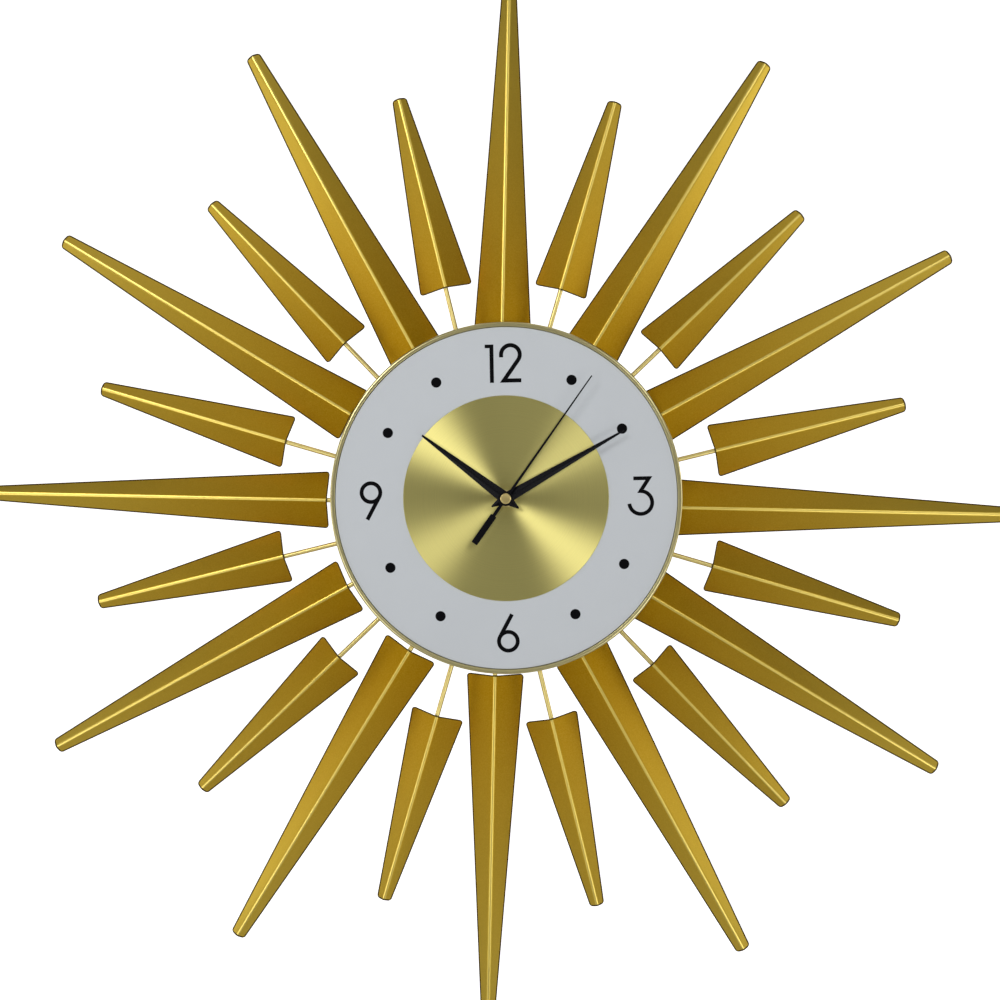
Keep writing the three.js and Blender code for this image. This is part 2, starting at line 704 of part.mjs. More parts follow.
function buildHands() {
  const hourBack = bushFront + 0.5;
  const hourHub = tube(hourTube.radius + 0.1, 4.6, hourBack, hourBack + 1, 24);
  const hourBlade = blade(hourHand).translate(0, 0, hourBack + 0.75);
  const hourHole = bar(hourTube.radius + 0.1, hourBack - 3, hourBack + 3, 24);
  const hour = cut(join(hourHub, hourBlade), hourHole);
  place("hour_hand", hour, finishes.handBlack, axis, clockwise(hourHand.turn));

  const minuteBack = hourTube.front + 0.5;
  const minuteHub = tube(minuteTube.radius + 0.1, 4.4, minuteBack, minuteBack + 0.9, 24);
  const minuteBlade = blade(minuteHand).translate(0, 0, minuteBack + 0.65);
  const minuteHole = bar(minuteTube.radius + 0.1, minuteBack - 3, minuteBack + 3, 24);
  const minute = cut(join(minuteHub, minuteBlade), minuteHole);
  place("minute_hand", minute, finishes.handBlack, axis, clockwise(minuteHand.turn));
  const minuteNut = tube(minuteTube.radius + 0.1, 3.4, minuteBack + 1.45, minuteTube.front - 0.1, 16);
  place("minute_nut", minuteNut, finishes.brass);

  const { length, tail, weightFrom, turn, depth } = secondHand;
  const secondBack = minuteTube.front + 0.5;
  const needle = outline([
    [-1.1, 0], [-1.1, -weightFrom], [-2.2, -weightFrom], [-2.2, -tail],
    [2.2, -tail], [2.2, -weightFrom], [1.1, -weightFrom], [1.1, 0],
    [0.9, 5], [0.4, length], [-0.4, length], [-0.9, 5],
  ]);
  const collar = bar(5, secondBack, secondBack + 0.7, 32);
  const hand = join(slab(needle, secondBack + 0.1, secondBack + depth), collar);
  const drilled = cut(hand, bar(1.3, secondBack - 1, secondBack + 2, 16));
  place("second_hand", drilled, finishes.handBlack, axis, clockwise(turn));

  const seat = secondBack + 0.8;
  const cap = turned([
    [0, secondArbor.front + 0.1],
    [secondArbor.radius + 0.07, secondArbor.front + 0.1],
    [secondArbor.radius + 0.07, secondBack - 0.3],
    [1.1, secondBack - 0.3],
    [1.1, seat],
    [3.6, seat],
    [3.6, seat + 0.5],
    [2.9, seat + 1],
    [0, seat + 1.2],
  ], 24);
  place("second_cap", cap, finishes.brass);
}

buildRays();
buildFrame();
buildDial();
buildHanger();
buildCase();
buildPlates();
buildElectrics();
buildTrain();
buildHands();

export default group;
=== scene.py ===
"""Sunburst wall clock: the fine surface of every piece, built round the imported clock.

Shapes are drawn as the clock lies on its back, in metres: x to the right, y up the dial and z out of
the wall, with the hands' axis through the origin. STAND turns them upright, so that the face looks
along -Y.
"""

import json
import math

import bmesh
import bpy
from bpy.props import FloatProperty, FloatVectorProperty, PointerProperty
from mathutils import Matrix, Vector, noise
from mathutils.geometry import tessellate_polygon


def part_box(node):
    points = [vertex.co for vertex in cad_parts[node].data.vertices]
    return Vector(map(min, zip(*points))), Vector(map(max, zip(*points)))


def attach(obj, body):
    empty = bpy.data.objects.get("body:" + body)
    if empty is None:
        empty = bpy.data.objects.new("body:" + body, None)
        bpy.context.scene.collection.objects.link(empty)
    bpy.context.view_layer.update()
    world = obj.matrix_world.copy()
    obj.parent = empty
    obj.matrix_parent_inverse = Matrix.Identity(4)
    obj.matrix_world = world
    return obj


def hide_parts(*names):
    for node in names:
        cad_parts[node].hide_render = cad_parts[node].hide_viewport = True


bl_info = {
    "name": "Sunburst Wall Clock",
    "version": (1, 0, 0),
    "blender": (4, 5, 0),
    "location": "3D View > Sidebar > Clock",
    "description": "Builds the visible pieces of a sunburst wall clock and a plain studio",
    "category": "Add Mesh",
}

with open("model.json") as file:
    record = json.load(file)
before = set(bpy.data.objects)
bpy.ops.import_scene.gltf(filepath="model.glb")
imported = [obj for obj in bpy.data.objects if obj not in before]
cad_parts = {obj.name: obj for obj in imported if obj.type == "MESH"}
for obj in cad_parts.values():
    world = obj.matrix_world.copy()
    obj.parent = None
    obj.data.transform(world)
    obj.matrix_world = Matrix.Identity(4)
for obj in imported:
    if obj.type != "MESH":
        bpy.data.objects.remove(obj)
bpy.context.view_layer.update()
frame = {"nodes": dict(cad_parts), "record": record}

MM = 0.001
STAND = Matrix.Rotation(math.pi / 2, 4, "X")
HOURS = 12
BODY = "clock_body"
BUSH_HOLE = 4.3 * MM  # radius of the holes that the threaded bush passes through
ROD_GAP = 0.3 * MM  # air between a rod and the fold over it


def depths(node):
    """How far the back and the front of a CAD node stand out from the wall."""
    low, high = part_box(node)
    return -high.y, -low.y


def clockwise(degrees):
    """A turn about the hands' axis, clockwise from twelve."""
    return Matrix.Rotation(-math.radians(degrees), 4, "Z")


def middle(node):
    """The middle of a CAD node's box, across and up the dial."""
    low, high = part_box(node)
    return (low.x + high.x) / 2, (low.z + high.z) / 2


FRAME_AT = middle("ray_frame")  # the rays' own centre, a little off the dial's

# where the hands rest, in degrees clockwise from the top of the frame
HOUR_HAND_AT, MINUTE_HAND_AT, SECOND_HAND_AT = 305.8, 58.8, 33.8


# ------------------------------------------------------------------ what a user may change


def length(name, description, millimetres):
    """A size, which the panel shows in the scene's unit of length."""
    return FloatProperty(
        name=name, description=description, default=millimetres * MM, unit="LENGTH", min=0
    )


def turn(name, description, degrees):
    """An angle."""
    return FloatProperty(
        name=name, description=description, default=math.radians(degrees), subtype="ANGLE"
    )


def colour(name, description, red, green, blue):
    """A linear colour."""
    return FloatVectorProperty(
        name=name, description=description, default=(red, green, blue), subtype="COLOR",
        min=0, max=1,
    )


class ClockSizes(bpy.types.PropertyGroup):
    """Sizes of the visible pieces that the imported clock's boxes don't already give."""

    sheet: length("Ray sheet", "Thickness of the folded ray sheet", 0.8)
    slope: turn("Ray slope", "How far each flange of a ray falls back", 32)
    corner: length("Ray corner", "Corner radius at a ray's inner end", 2.5)
    tip_corner: length("Tip corner", "Corner radius at a ray's tip", 2)
    long_tip: length("Long ray tip", "Half the width of a long ray's tip", 5.2)
    short_tip: length("Short ray tip", "Half the width of a short ray's tip", 5)
    # the edge strip carries painted shade along the rays' edges
    strip: length("Edge strip", "Width of the thin coat along a ray's cut edges", 0.9)
    waviness: length("Flange waviness", "How far the flanges stray from flat", 0.16)
    rod: length("Rod radius", "Radius of the rods that carry the rays", 1.6)
    rod_inner: length("Rod inner end", "Where a rod starts on the hub plate", 45)
    rod_outer: length("Rod outer end", "Where a rod ends under its ray", 250)
    lip: length("Rim width", "Width of the pan's rolled rim", 3.2)
    dot: length("Dot radius", "Radius of a printed hour dot", 3.5)
    dot_circle: length("Dot circle", "Radius on which the hour dots lie", 92)
    numeral_circle: length("Numeral circle", "Radius on which the numerals stand", 92)
    dial_turn: turn("Dial turn", "How far the printed dial sits turned against the rays", -2.2)
    print_height: length("Print height", "How far the ink stands proud", 0.06)


class ClockColours(bpy.types.PropertyGroup):
    """Base colours of the finishes."""

    ray_gold: colour("Ray gold", "Satin gold paint on the rays near the dial", 0.47, 0.245, 0.003)
    tip_gold: colour("Tip gold", "The thinner, paler coat towards the rays' tips", 0.66, 0.46, 0.06)
    # painted highlight: the bright colour laid along each ray's fold
    fold_highlight_gold: colour("Fold gold", "The coat burnished bright along the fold", 0.82, 0.64, 0.15)
    # painted shade: a dark colour for the strip along the rays' edges, drawing the dark outline that
    # shade gives them
    cut_edge: colour("Edge shade", "Thinly painted edges of the ray sheet", 0.07, 0.042, 0.006)
    rod_gold: colour("Rod gold", "Bright plate on the rods", 0.85, 0.7, 0.26)
    pan_gold: colour("Rim gold", "Pale gold of the dial pan", 0.62, 0.55, 0.27)
    disc_gold: colour("Disc gold", "Pale gold of the centre disc", 0.78, 0.7, 0.25)
    dial_white: colour("Dial white", "Cool white of the dial", 0.62, 0.65, 0.68)
    ink: colour("Ink", "Printed numerals and dots", 0.003, 0.003, 0.004)
    hand_black: colour("Hand black", "Satin black on the hands", 0.004, 0.004, 0.006)
    brass: colour("Brass", "Turned brass", 0.86, 0.68, 0.28)
    steel: colour("Steel", "Zinc-plated steel", 0.5, 0.51, 0.53)
    plastic: colour("Case plastic", "Moulded black plastic", 0.012, 0.012, 0.013)
    acetal: colour("Gear plastic", "Natural moulded plastic", 0.78, 0.75, 0.68)


class ClockStudio(bpy.types.PropertyGroup):
    """The studio's light and the camera."""

    surround: FloatProperty(
        name="Surround", description="Strength of the even white light", default=0.05, min=0
    )
    lens: FloatProperty(
        name="Lens", description="Focal length", default=44.6, subtype="DISTANCE_CAMERA"
    )
    roll: turn("Camera roll", "Turn of the camera about its own axis", 1.19)


# ------------------------------------------------------------------ shapes


class Solid:
    """Points and faces gathered for one piece."""

    def __init__(self):
        self.points, self.faces, self.marks = [], [], []

    def add(self, shape, move=None, mark=0):
        """Adds a shape, moved by a matrix, with a number that picks its material."""
        points, faces = shape
        first = len(self.points)
        self.points += [move @ Vector(point) if move else Vector(point) for point in points]
        self.faces += [tuple(first + i for i in face) for face in faces]
        self.marks += [mark] * len(faces)
        return self


def arc(centre, radius, start, end, steps):
    """Points on an arc between two angles in degrees, both ends included."""
    angles = [math.radians(start + (end - start) * i / steps) for i in range(steps + 1)]
    at = Vector(centre)
    return [at + Vector((math.cos(angle), math.sin(angle))) * radius for angle in angles]


def rounded(corners, steps=4):
    """A closed outline from (x, y, corner radius), with each corner turned as an arc."""
    loop = []
    for i, (x, y, radius) in enumerate(corners):
        here = Vector((x, y))
        if radius <= 0:
            loop.append(here)
            continue
        back = (Vector(corners[i - 1][:2]) - here).normalized()
        ahead = (Vector(corners[(i + 1) % len(corners)][:2]) - here).normalized()
        half = back.angle(ahead) / 2
        centre = here + (back + ahead).normalized() * (radius / math.sin(half))
        start = here + back * (radius / math.tan(half)) - centre
        end = here + ahead * (radius / math.tan(half)) - centre
        first = math.degrees(math.atan2(start.y, start.x))
        sweep = (math.degrees(math.atan2(end.y, end.x)) - first + 180) % 360 - 180
        loop += arc(centre, radius, first, first + sweep, steps)
    return loop


def window(x0, x1, y0, y1, low_corner, high_corner, steps=4):
    """A rectangle's outline, with one radius for its lower corners and one for its upper."""
    lower = [(x0, y0, low_corner), (x1, y0, low_corner)]
    upper = [(x1, y1, high_corner), (x0, y1, high_corner)]
    return rounded(lower + upper, steps)


def circle(radius, steps=64, x=0, y=0):
    """A closed round outline."""
    return arc((x, y), radius, 0, 360, steps)[:-1]


def inset(loop, amount):
    """An outline moved to its left by an amount, which is inwards for a counter-clockwise one."""
    moved = []
    for i, here in enumerate(loop):
        into = (here - loop[i - 1]).normalized()
        out = (loop[(i + 1) % len(loop)] - here).normalized()
        left = Vector((-into.y - out.y, into.x + out.x))
        if left.length < 1e-9:
            left = Vector((-out.y, out.x))
        left.normalize()
        share = max(0.3, left.dot(Vector((-out.y, out.x))))
        moved.append(here + left * (amount / share))
    return moved


def area(loop):
    """The area inside an outline, below nought if it runs clockwise."""
    return sum(loop[i - 1].cross(here) for i, here in enumerate(loop)) / 2


def plate(outer, back, front, holes=(), chamfer=0.0):
    """An outline with holes given thickness, with its edges broken by a chamfer."""
    loops = [outer if area(outer) > 0 else outer[::-1]]
    loops += [hole if area(hole) < 0 else hole[::-1] for hole in holes]
    points, faces, offsets = [], [], []
    for loop in loops:
        small = inset(loop, chamfer) if chamfer else loop
        levels = [(small, back), (loop, back + chamfer), (loop, front - chamfer), (small, front)]
        if not chamfer:
            levels = [levels[0], levels[3]]
        first, count = len(points), len(loop)
        offsets.append((first, count, len(levels)))
        for ring, depth in levels:
            points += [(corner.x, corner.y, depth) for corner in ring]
        for level in range(len(levels) - 1):
            row = first + level * count
            for i in range(count):
                j = (i + 1) % count
                faces.append((row + i, row + j, row + count + j, row + count + i))
    for top in (False, True):
        index = []
        for first, count, levels in offsets:
            start = first + (levels - 1) * count if top else first
            index += range(start, start + count)
        rings, taken = [], 0
        for _, count, _ in offsets:
            rings.append([Vector((*points[i][:2], 0)) for i in index[taken:taken + count]])
            taken += count
        faces += [tuple(index[i] for i in face) for face in tessellate_polygon(rings)]
    return points, faces


def turned(profile, sides, closed=True):
    """A turned shape about z from a loop, or an open line, of (radius, depth)."""
    points, faces, count = [], [], len(profile)
    for side in range(sides):
        angle = 2 * math.pi * side / sides
        points += [(r * math.cos(angle), r * math.sin(angle), d) for r, d in profile]
    for side in range(sides):
        here, there = side * count, (side + 1) % sides * count
        for i in range(count if closed else count - 1):
            j = (i + 1) % count
            faces.append((here + i, there + i, there + j, here + j))
    return points, faces


def ring(inner, outer, back, front, corners, steps=3, sides=64):
    """A turned ring. Its corner radii, in millimetres, go round from the inner corner at the back."""
    section = [(inner, back), (outer, back), (outer, front), (inner, front)]
    rounding = [(*place, radius * MM) for place, radius in zip(section, corners)]
    return turned(rounded(rounding, steps), sides)


def wire(path, radius, sides=8):
    """A round wire along a path, closed at both ends."""
    points, faces = [], []
    for i, here in enumerate(path):
        along = (path[min(i + 1, len(path) - 1)] - path[max(i - 1, 0)]).normalized()
        turn_to = along.to_track_quat("Z", "Y").to_matrix()
        for side in range(sides):
            angle = 2 * math.pi * side / sides
            points.append(here + turn_to @ Vector((math.cos(angle), math.sin(angle), 0)) * radius)
    for i in range(len(path) - 1):
        for side in range(sides):
            j = (side + 1) % sides
            row = i * sides
            faces.append((row + side, row + j, row + sides + j, row + sides + side))
    faces.append(tuple(range(sides)))
    faces.append(tuple(range(len(points) - sides, len(points))))
    return points, faces


def bead(size, seed, rings=6, sides=10):
    """A weld bead: a squashed, slightly uneven lump of the given size along x, y and z."""
    angles = [math.pi * i / rings for i in range(rings + 1)]
    profile = [(math.sin(angle), -math.cos(angle)) for angle in angles]
    points, faces = turned(profile + [(0, 0)], sides)
    lump = []
    for point in points:
        here = Vector(point)
        swell = 1 + 0.18 * noise.noise(here * 1.7 + Vector((seed, 0, 0)))
        lump.append(Vector([here[i] * size[i] * swell for i in range(3)]))
    return lump, faces


def stroke(path, width):
    """The outline of a pen stroke along a path, with mitred corners and square ends."""
    left, right = [], []
    for i, here in enumerate(path):
        into = (here - path[i - 1]).normalized() if i else None
        out = (path[i + 1] - here).normalized() if i + 1 < len(path) else None
        into, out = into or out, out or into
        side = Vector((-into.y - out.y, into.x + out.x)).normalized()
        reach = width / 2 / side.dot(Vector((-out.y, out.x)))
        left.append(here + side * reach)
        right.append(here - side * reach)
    return left + right[::-1]


def make(name, shape, finish, replaces=None, slot=None, second=None, body=BODY, move=None, sharp=35,
         thick=0.0, edge=0.0):
    """Makes one piece from a shape or from a Solid, in place on its body.

    Faces marked 0 take the first finish and faces marked 1 the second. The slot argument is not used.
    A skin is given thickness behind it, and edges are broken by a small bevel.
    """
    solid = shape if isinstance(shape, Solid) else Solid().add(shape)
    mesh = bpy.data.meshes.new(name)
    mesh.from_pydata(solid.points, [], solid.faces)
    mesh.polygons.foreach_set("material_index", solid.marks)
    piece = bpy.data.objects.new(name, mesh)
    bpy.context.scene.collection.objects.link(piece)
    tidy(mesh, outwards=not thick)
    mesh.shade_smooth()
    mesh.set_sharp_from_angle(angle=math.radians(sharp))
    for key in filter(None, (finish, second)):
        mesh.materials.append(finishes()[key])
    if thick:
        skin = piece.modifiers.new("sheet", "SOLIDIFY")
        skin.thickness, skin.offset, skin.use_even_offset = thick, -1, True
    if edge:
        broken = piece.modifiers.new("broken edges", "BEVEL")
        broken.width, broken.segments, broken.limit_method = edge, 2, "ANGLE"
        broken.angle_limit = math.radians(50)
    even = piece.modifiers.new("even shading", "WEIGHTED_NORMAL")
    even.keep_sharp = True
    piece.matrix_world = STAND @ (move or Matrix.Identity(4))
    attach(piece, body)
    if replaces:
        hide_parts(replaces)


def tidy(mesh, outwards):
    """Merges points that meet, drops empty faces and turns closed shapes outwards."""
    work = bmesh.new()
    work.from_mesh(mesh)
    bmesh.ops.remove_doubles(work, verts=work.verts, dist=1e-7)
    bmesh.ops.dissolve_degenerate(work, edges=work.edges, dist=1e-8)
    if outwards:
        bmesh.ops.recalc_face_normals(work, faces=work.faces)
    work.to_mesh(mesh)
    work.free()


# ------------------------------------------------------------------ materials


class Wire:
    """A shader socket that can be written in sums: each operation adds its Math node."""

    def __init__(self, finish, socket):
        self.finish, self.socket = finish, socket

    def math(self, operation, first, second):
        return self.finish.add("ShaderNodeMath", {"operation": operation}, {0: first, 1: second})

    def __add__(self, other):
        return self.math("ADD", self, other)

    def __sub__(self, other):
        return self.math("SUBTRACT", self, other)

    def __rsub__(self, other):
        return self.math("SUBTRACT", other, self)

    def __mul__(self, other):
        return self.math("MULTIPLY", self, other)

    def __abs__(self):
        return self.math("ABSOLUTE", self, 0.0)

    def __gt__(self, other):
        return self.math("GREATER_THAN", self, other)

    __radd__ = __add__
    __rmul__ = __mul__


class Finish:
    """One procedural material: a Principled surface and the method that adds each other node."""

    def __init__(self, name, **constants):
        self.material = bpy.data.materials.new(name)
        self.material.use_nodes = True
        self.tree = self.material.node_tree
        self.tree.nodes.clear()
        names = {key: key.replace("_", " ").title().replace("Ior", "IOR") for key in constants}
        values = {names[key]: value for key, value in constants.items()}
        surface = self.add("ShaderNodeBsdfPrincipled", {}, values)
        self.surface = surface.socket.node
        self.add("ShaderNodeOutputMaterial", {}, {"Surface": surface}, out=None)

    def add(self, kind, settings=None, values=None, out=0):
        """Adds a node: its settings first, then its sockets' values or links."""
        node = self.tree.nodes.new(kind)
        for key, value in (settings or {}).items():
            setattr(node, key, value)
        for key, value in (values or {}).items():
            self.put(self.find(node.inputs, key), value)
        return None if out is None else Wire(self, self.find(node.outputs, out))

    @staticmethod
    def find(sockets, key):
        """The socket at a number, or the one in use that has a name."""
        if isinstance(key, int):
            return sockets[key]
        return next(socket for socket in sockets if socket.name == key and socket.enabled)

    def put(self, socket, value):
        """Links a wire to a socket, or sets the socket's own value."""
        if isinstance(value, Wire):
            self.tree.links.new(value.socket, socket)
        elif hasattr(value, "__len__") and len(value) == 3 and socket.type == "RGBA":
            socket.default_value = (*value, 1)
        else:
            socket.default_value = value

    def feed(self, name, wire):
        """Links a wire to a socket of the surface."""
        self.put(self.surface.inputs[name], wire)

    def vector_math(self, operation, first, second):
        return self.add("ShaderNodeVectorMath", {"operation": operation}, {0: first, 1: second}, "Vector")

    def coordinates(self, stretch=(1, 1, 1), shift=None):
        """Object coordinates, stretched, and shifted by a different amount on each piece."""
        place = self.add("ShaderNodeTexCoord", out="Object")
        if shift is not None:
            place = self.vector_math("ADD", place, shift)
        if stretch == (1, 1, 1):
            return place
        return self.add("ShaderNodeMapping", {}, {"Vector": place, "Scale": stretch}, "Vector")

    def own_shift(self):
        """A vector that differs from piece to piece, so that no two are marked alike."""
        number = self.add("ShaderNodeObjectInfo", out="Random")
        shifts = {"X": number * 3.1, "Y": number * 7.3, "Z": number * 1.7}
        return self.add("ShaderNodeCombineXYZ", {}, shifts)

    def axis(self, name):
        """One of the object coordinates."""
        return self.add("ShaderNodeSeparateXYZ", {}, {"Vector": self.coordinates()}, name)

    def ramp(self, value, start, end):
        """Nought at the start, one at the end."""
        limits = {"Value": value, "From Min": start, "From Max": end}
        return self.add("ShaderNodeMapRange", {}, limits, "Result")

    def noise(self, size, detail=2.0, roughness=0.5, place=None):
        """Noise whose blotches are about the given size across."""
        values = {"Scale": 0.6 / size, "Detail": detail, "Roughness": roughness}
        values["Vector"] = place or self.coordinates()
        return self.add("ShaderNodeTexNoise", {}, values, "Fac")

    def rings(self, size, detail, roughness):
        """Noise that changes only with the distance from the hands' axis."""
        across = self.vector_math("MULTIPLY", self.coordinates(), (1, 1, 0))
        radius = self.add("ShaderNodeVectorMath", {"operation": "LENGTH"}, {0: across}, "Value")
        return self.noise(size, detail, roughness, self.add("ShaderNodeCombineXYZ", {}, {"X": radius}))

    def blend(self, factor, first, second, kind="MIX"):
        """The first colour where the factor is nought, the second where it is one."""
        settings = {"data_type": "RGBA", "blend_type": kind}
        values = {"Factor": factor, "A": first, "B": second}
        return self.add("ShaderNodeMix", settings, values, "Result")

    def bump(self, height, strength, distance):
        """Relief as high as the distance, in metres, where the height is one."""
        values = {"Height": height, "Strength": strength, "Distance": distance}
        self.feed("Normal", self.add("ShaderNodeBump", {}, values, "Normal"))


def shade(base, factor):
    """A colour made darker or lighter by a factor."""
    return tuple(min(1, channel * factor) for channel in base)


def painted_gold(deep, pale, fold_highlight):
    """Satin metallic paint with flake and orange peel, and a painted highlight along the fold.

    The coat is deep near the dial and pale towards a ray's tip. Numbers are metres along and across it.
    """
    pales_from, pales_to = 0.13, 0.33
    highlight_edge, highlight_crest = 0.0012, 0.0006
    thin = (0.88, 0.88, 0.88)
    finish = Finish("painted gold", metallic=1.0)
    place = finish.coordinates(shift=finish.own_shift())
    drift = finish.noise(0.07, 3, 0.55, place)
    flake = finish.noise(0.0006, 2, 0.7, place)
    outwards = finish.ramp(finish.axis("Y"), pales_from, pales_to)
    # painted highlight: within about a millimetre of the fold's crest the colour turns bright and the
    # roughness drops, standing in for the ridge's reflection
    fold = finish.ramp(abs(finish.axis("X")), highlight_edge, highlight_crest)
    coat = finish.blend(outwards, deep, pale)
    body = finish.blend(drift, finish.blend(1.0, coat, thin, "MULTIPLY"), coat)
    sparkling = finish.blend((flake - 0.35) * 0.5, body, shade(pale, 1.3))
    finish.feed("Base Color", finish.blend(fold, sparkling, fold_highlight))
    finish.feed("Roughness", 0.4 + drift * 0.07 + (flake - 0.5) * 0.12 - fold * 0.06)
    peel = finish.noise(0.0016, 2, 0.5, place)
    finish.bump(peel * 0.6 + flake * 0.4, 0.12, 0.0002)
    return finish.material


def bright_plate(base, crest):
    """Bright plate over a drawn rod, with random tarnish in its tone and painted shade: the colour is
    full along its crest and falls to four tenths down its sides.
    """
    shade_full_below, shade_none_above = crest - 1.1 * MM, crest - 0.4 * MM
    finish = Finish("bright plate", metallic=1.0)
    tarnish = finish.noise(0.02, 3, 0.6)
    speck = finish.noise(0.0015, 2)
    # painted shade: below the crest the colour darkens with depth, standing in for the dark reflections
    # down the rod's sides
    crest_unshaded = finish.ramp(finish.axis("Z"), shade_full_below, shade_none_above)
    crown = finish.blend(tarnish, shade(base, 0.9), shade(base, 1.1))
    finish.feed("Base Color", finish.blend(crest_unshaded, shade(base, 0.4), crown))
    finish.feed("Roughness", 0.3 + tarnish * 0.1 + speck * 0.04)
    finish.bump(speck, 0.02, 0.0001)
    return finish.material


def spun_rim(base):
    """Metal spun on a lathe: fine rings about the hands' axis."""
    finish = Finish("spun rim", metallic=1.0)
    rings = finish.rings(0.0006, 4, 0.65)
    drift = finish.noise(0.05, 2)
    finish.feed("Base Color", finish.blend(rings, shade(base, 0.9), shade(base, 1.1)))
    finish.feed("Roughness", 0.3 + (rings - 0.5) * 0.12 + (drift - 0.5) * 0.05)
    finish.bump(rings, 0.1, 0.00005)
    return finish.material


def brushed_disc(base):
    """The centre disc: brushed in circles, so its highlights fan out from the axis.

    A quarter turn of the brushing makes the fans point towards the lights.
    """
    finish = Finish("brushed disc", metallic=1.0, anisotropic=0.95, anisotropic_rotation=0.25)
    rings = finish.rings(0.0005, 5, 0.7)
    finish.feed("Base Color", finish.blend(rings, shade(base, 0.86), shade(base, 1.12)))
    finish.feed("Roughness", 0.44 + (rings - 0.5) * 0.16)
    return finish.material


def printed_white(base):
    """The dial's matt printed face, with a little tooth and mottle."""
    finish = Finish("printed white", specular_ior_level=0.35)
    mottle = finish.noise(0.03, 3, 0.6)
    tooth = finish.noise(0.0004, 2)
    finish.feed("Base Color", finish.blend(mottle, shade(base, 0.97), shade(base, 1.03)))
    finish.feed("Roughness", 0.52 + tooth * 0.16)
    finish.bump(tooth, 0.06, 0.0001)
    return finish.material


def paint(name, base, roughness, grain=0.0008, depth=0.08, metallic=0.0, spread=0.12, shine=0.5):
    """Plain paint, ink, plastic or rubber with a fine grain."""
    finish = Finish(name, metallic=metallic, specular_ior_level=shine)
    speck = finish.noise(grain, 3, 0.6)
    drift = finish.noise(0.02, 2)
    finish.feed("Base Color", finish.blend(drift, shade(base, 1 - spread), shade(base, 1 + spread)))
    finish.feed("Roughness", roughness + (speck - 0.5) * 0.16 + (drift - 0.5) * 0.06)
    finish.bump(speck, depth, 0.0002)
    return finish.material


def metal(name, base, roughness):
    """Bare or plated metal with fine scratches."""
    finish = Finish(name, metallic=1.0)
    scratch = finish.noise(0.0006, 3, 0.7, finish.coordinates((1, 0.08, 1)))
    drift = finish.noise(0.008, 3)
    finish.feed("Base Color", finish.blend(drift, shade(base, 0.85), shade(base, 1.12)))
    finish.feed("Roughness", roughness + (scratch - 0.5) * 0.2 + (drift - 0.5) * 0.08)
    finish.bump(scratch, 0.06, 0.0001)
    return finish.material


def winding(base):
    """Enamelled wire wound side by side along x, with painted shade between the turns."""
    finish = Finish("winding", metallic=0.9)
    settings = {"wave_type": "BANDS", "bands_direction": "X"}
    values = {"Vector": finish.coordinates(), "Scale": 900.0}
    turns = finish.add("ShaderNodeTexWave", settings, values, "Fac")
    # painted shade: the colour falls to four tenths of the base between the turns, where the grooves lie
    # in shade
    finish.feed("Base Color", finish.blend(turns, shade(base, 0.4), base))
    finish.feed("Roughness", 0.3 + turns * 0.15)
    finish.bump(turns, 0.5, 0.0001)
    return finish.material


def circuit_green(base):
    """Solder resist with copper tracks showing faintly through."""
    finish = Finish("circuit green", coat_weight=0.4, coat_roughness=0.2)
    settings = {"feature": "F1", "distance": "CHEBYCHEV"}
    values = {"Vector": finish.coordinates(), "Scale": 420.0}
    cells = finish.add("ShaderNodeTexVoronoi", settings, values, "Distance")
    tracks = cells > 0.42
    finish.feed("Base Color", finish.blend(tracks, base, shade(base, 2.1)))
    finish.feed("Roughness", 0.4 + tracks * 0.1)
    finish.bump(tracks, 0.2, 0.0001)
    return finish.material


def cell_wrap():
    """A plain two-tone wrap on the cell: dark, with a copper-coloured end."""
    dark, copper = (0.02, 0.06, 0.035), (0.55, 0.24, 0.07)
    copper_from = 11.5 * MM
    finish = Finish("cell wrap", metallic=0.5)
    band = finish.axis("X") > copper_from
    speck = finish.noise(0.002, 2)
    finish.feed("Base Color", finish.blend(band, dark, copper))
    finish.feed("Roughness", 0.27 + speck * 0.1)
    finish.bump(speck, 0.05, 0.0001)
    return finish.material


FINISHES = {}


def finishes():
    """Every material by the name of its finish, made once from the panel's colours."""
    if FINISHES:
        return FINISHES
    look = bpy.context.scene.clock_colours
    FINISHES.update(
        # the third colour is the painted highlight along the rays' folds
        ray_gold=painted_gold(look.ray_gold, look.tip_gold, look.fold_highlight_gold),
        hub_gold=paint("hub gold", look.ray_gold, 0.42, 0.0006, 0.1, metallic=1.0),
        # painted shade: the dark outline along the rays' edges
        cut_edge=paint("edge shade", look.cut_edge, 0.6, 0.0005, 0.1, metallic=0.4, shine=0.2),
        rod_gold=bright_plate(look.rod_gold, depths("ray_frame")[1]),
        pan_gold=spun_rim(look.pan_gold),
        disc_gold=brushed_disc(look.disc_gold),
        dial_white=printed_white(look.dial_white),
        ink=paint("ink", look.ink, 0.5, spread=0.05, shine=0.04),
        hand_black=paint("hand black", look.hand_black, 0.28, 0.0004, 0.04, shine=0.12),
        brass=metal("brass", look.brass, 0.32),
        steel=metal("zinc steel", look.steel, 0.34),
        rubber=paint("rubber", (0.012, 0.012, 0.012), 0.75, 0.0006, 0.2),
        case_plastic=paint("case plastic", look.plastic, 0.45, 0.0005, 0.3),
        gear_plastic=paint("gear plastic", look.acetal, 0.38, 0.0012, 0.05, spread=0.03),
        board_green=circuit_green((0.02, 0.11, 0.035)),
        copper=winding((0.6, 0.24, 0.1)),
        magnet=paint("magnet", (0.045, 0.045, 0.05), 0.5, 0.0004, 0.2, metallic=0.7),
        battery_wrap=cell_wrap(),
    )
    return FINISHES


# ------------------------------------------------------------------ rays and frame


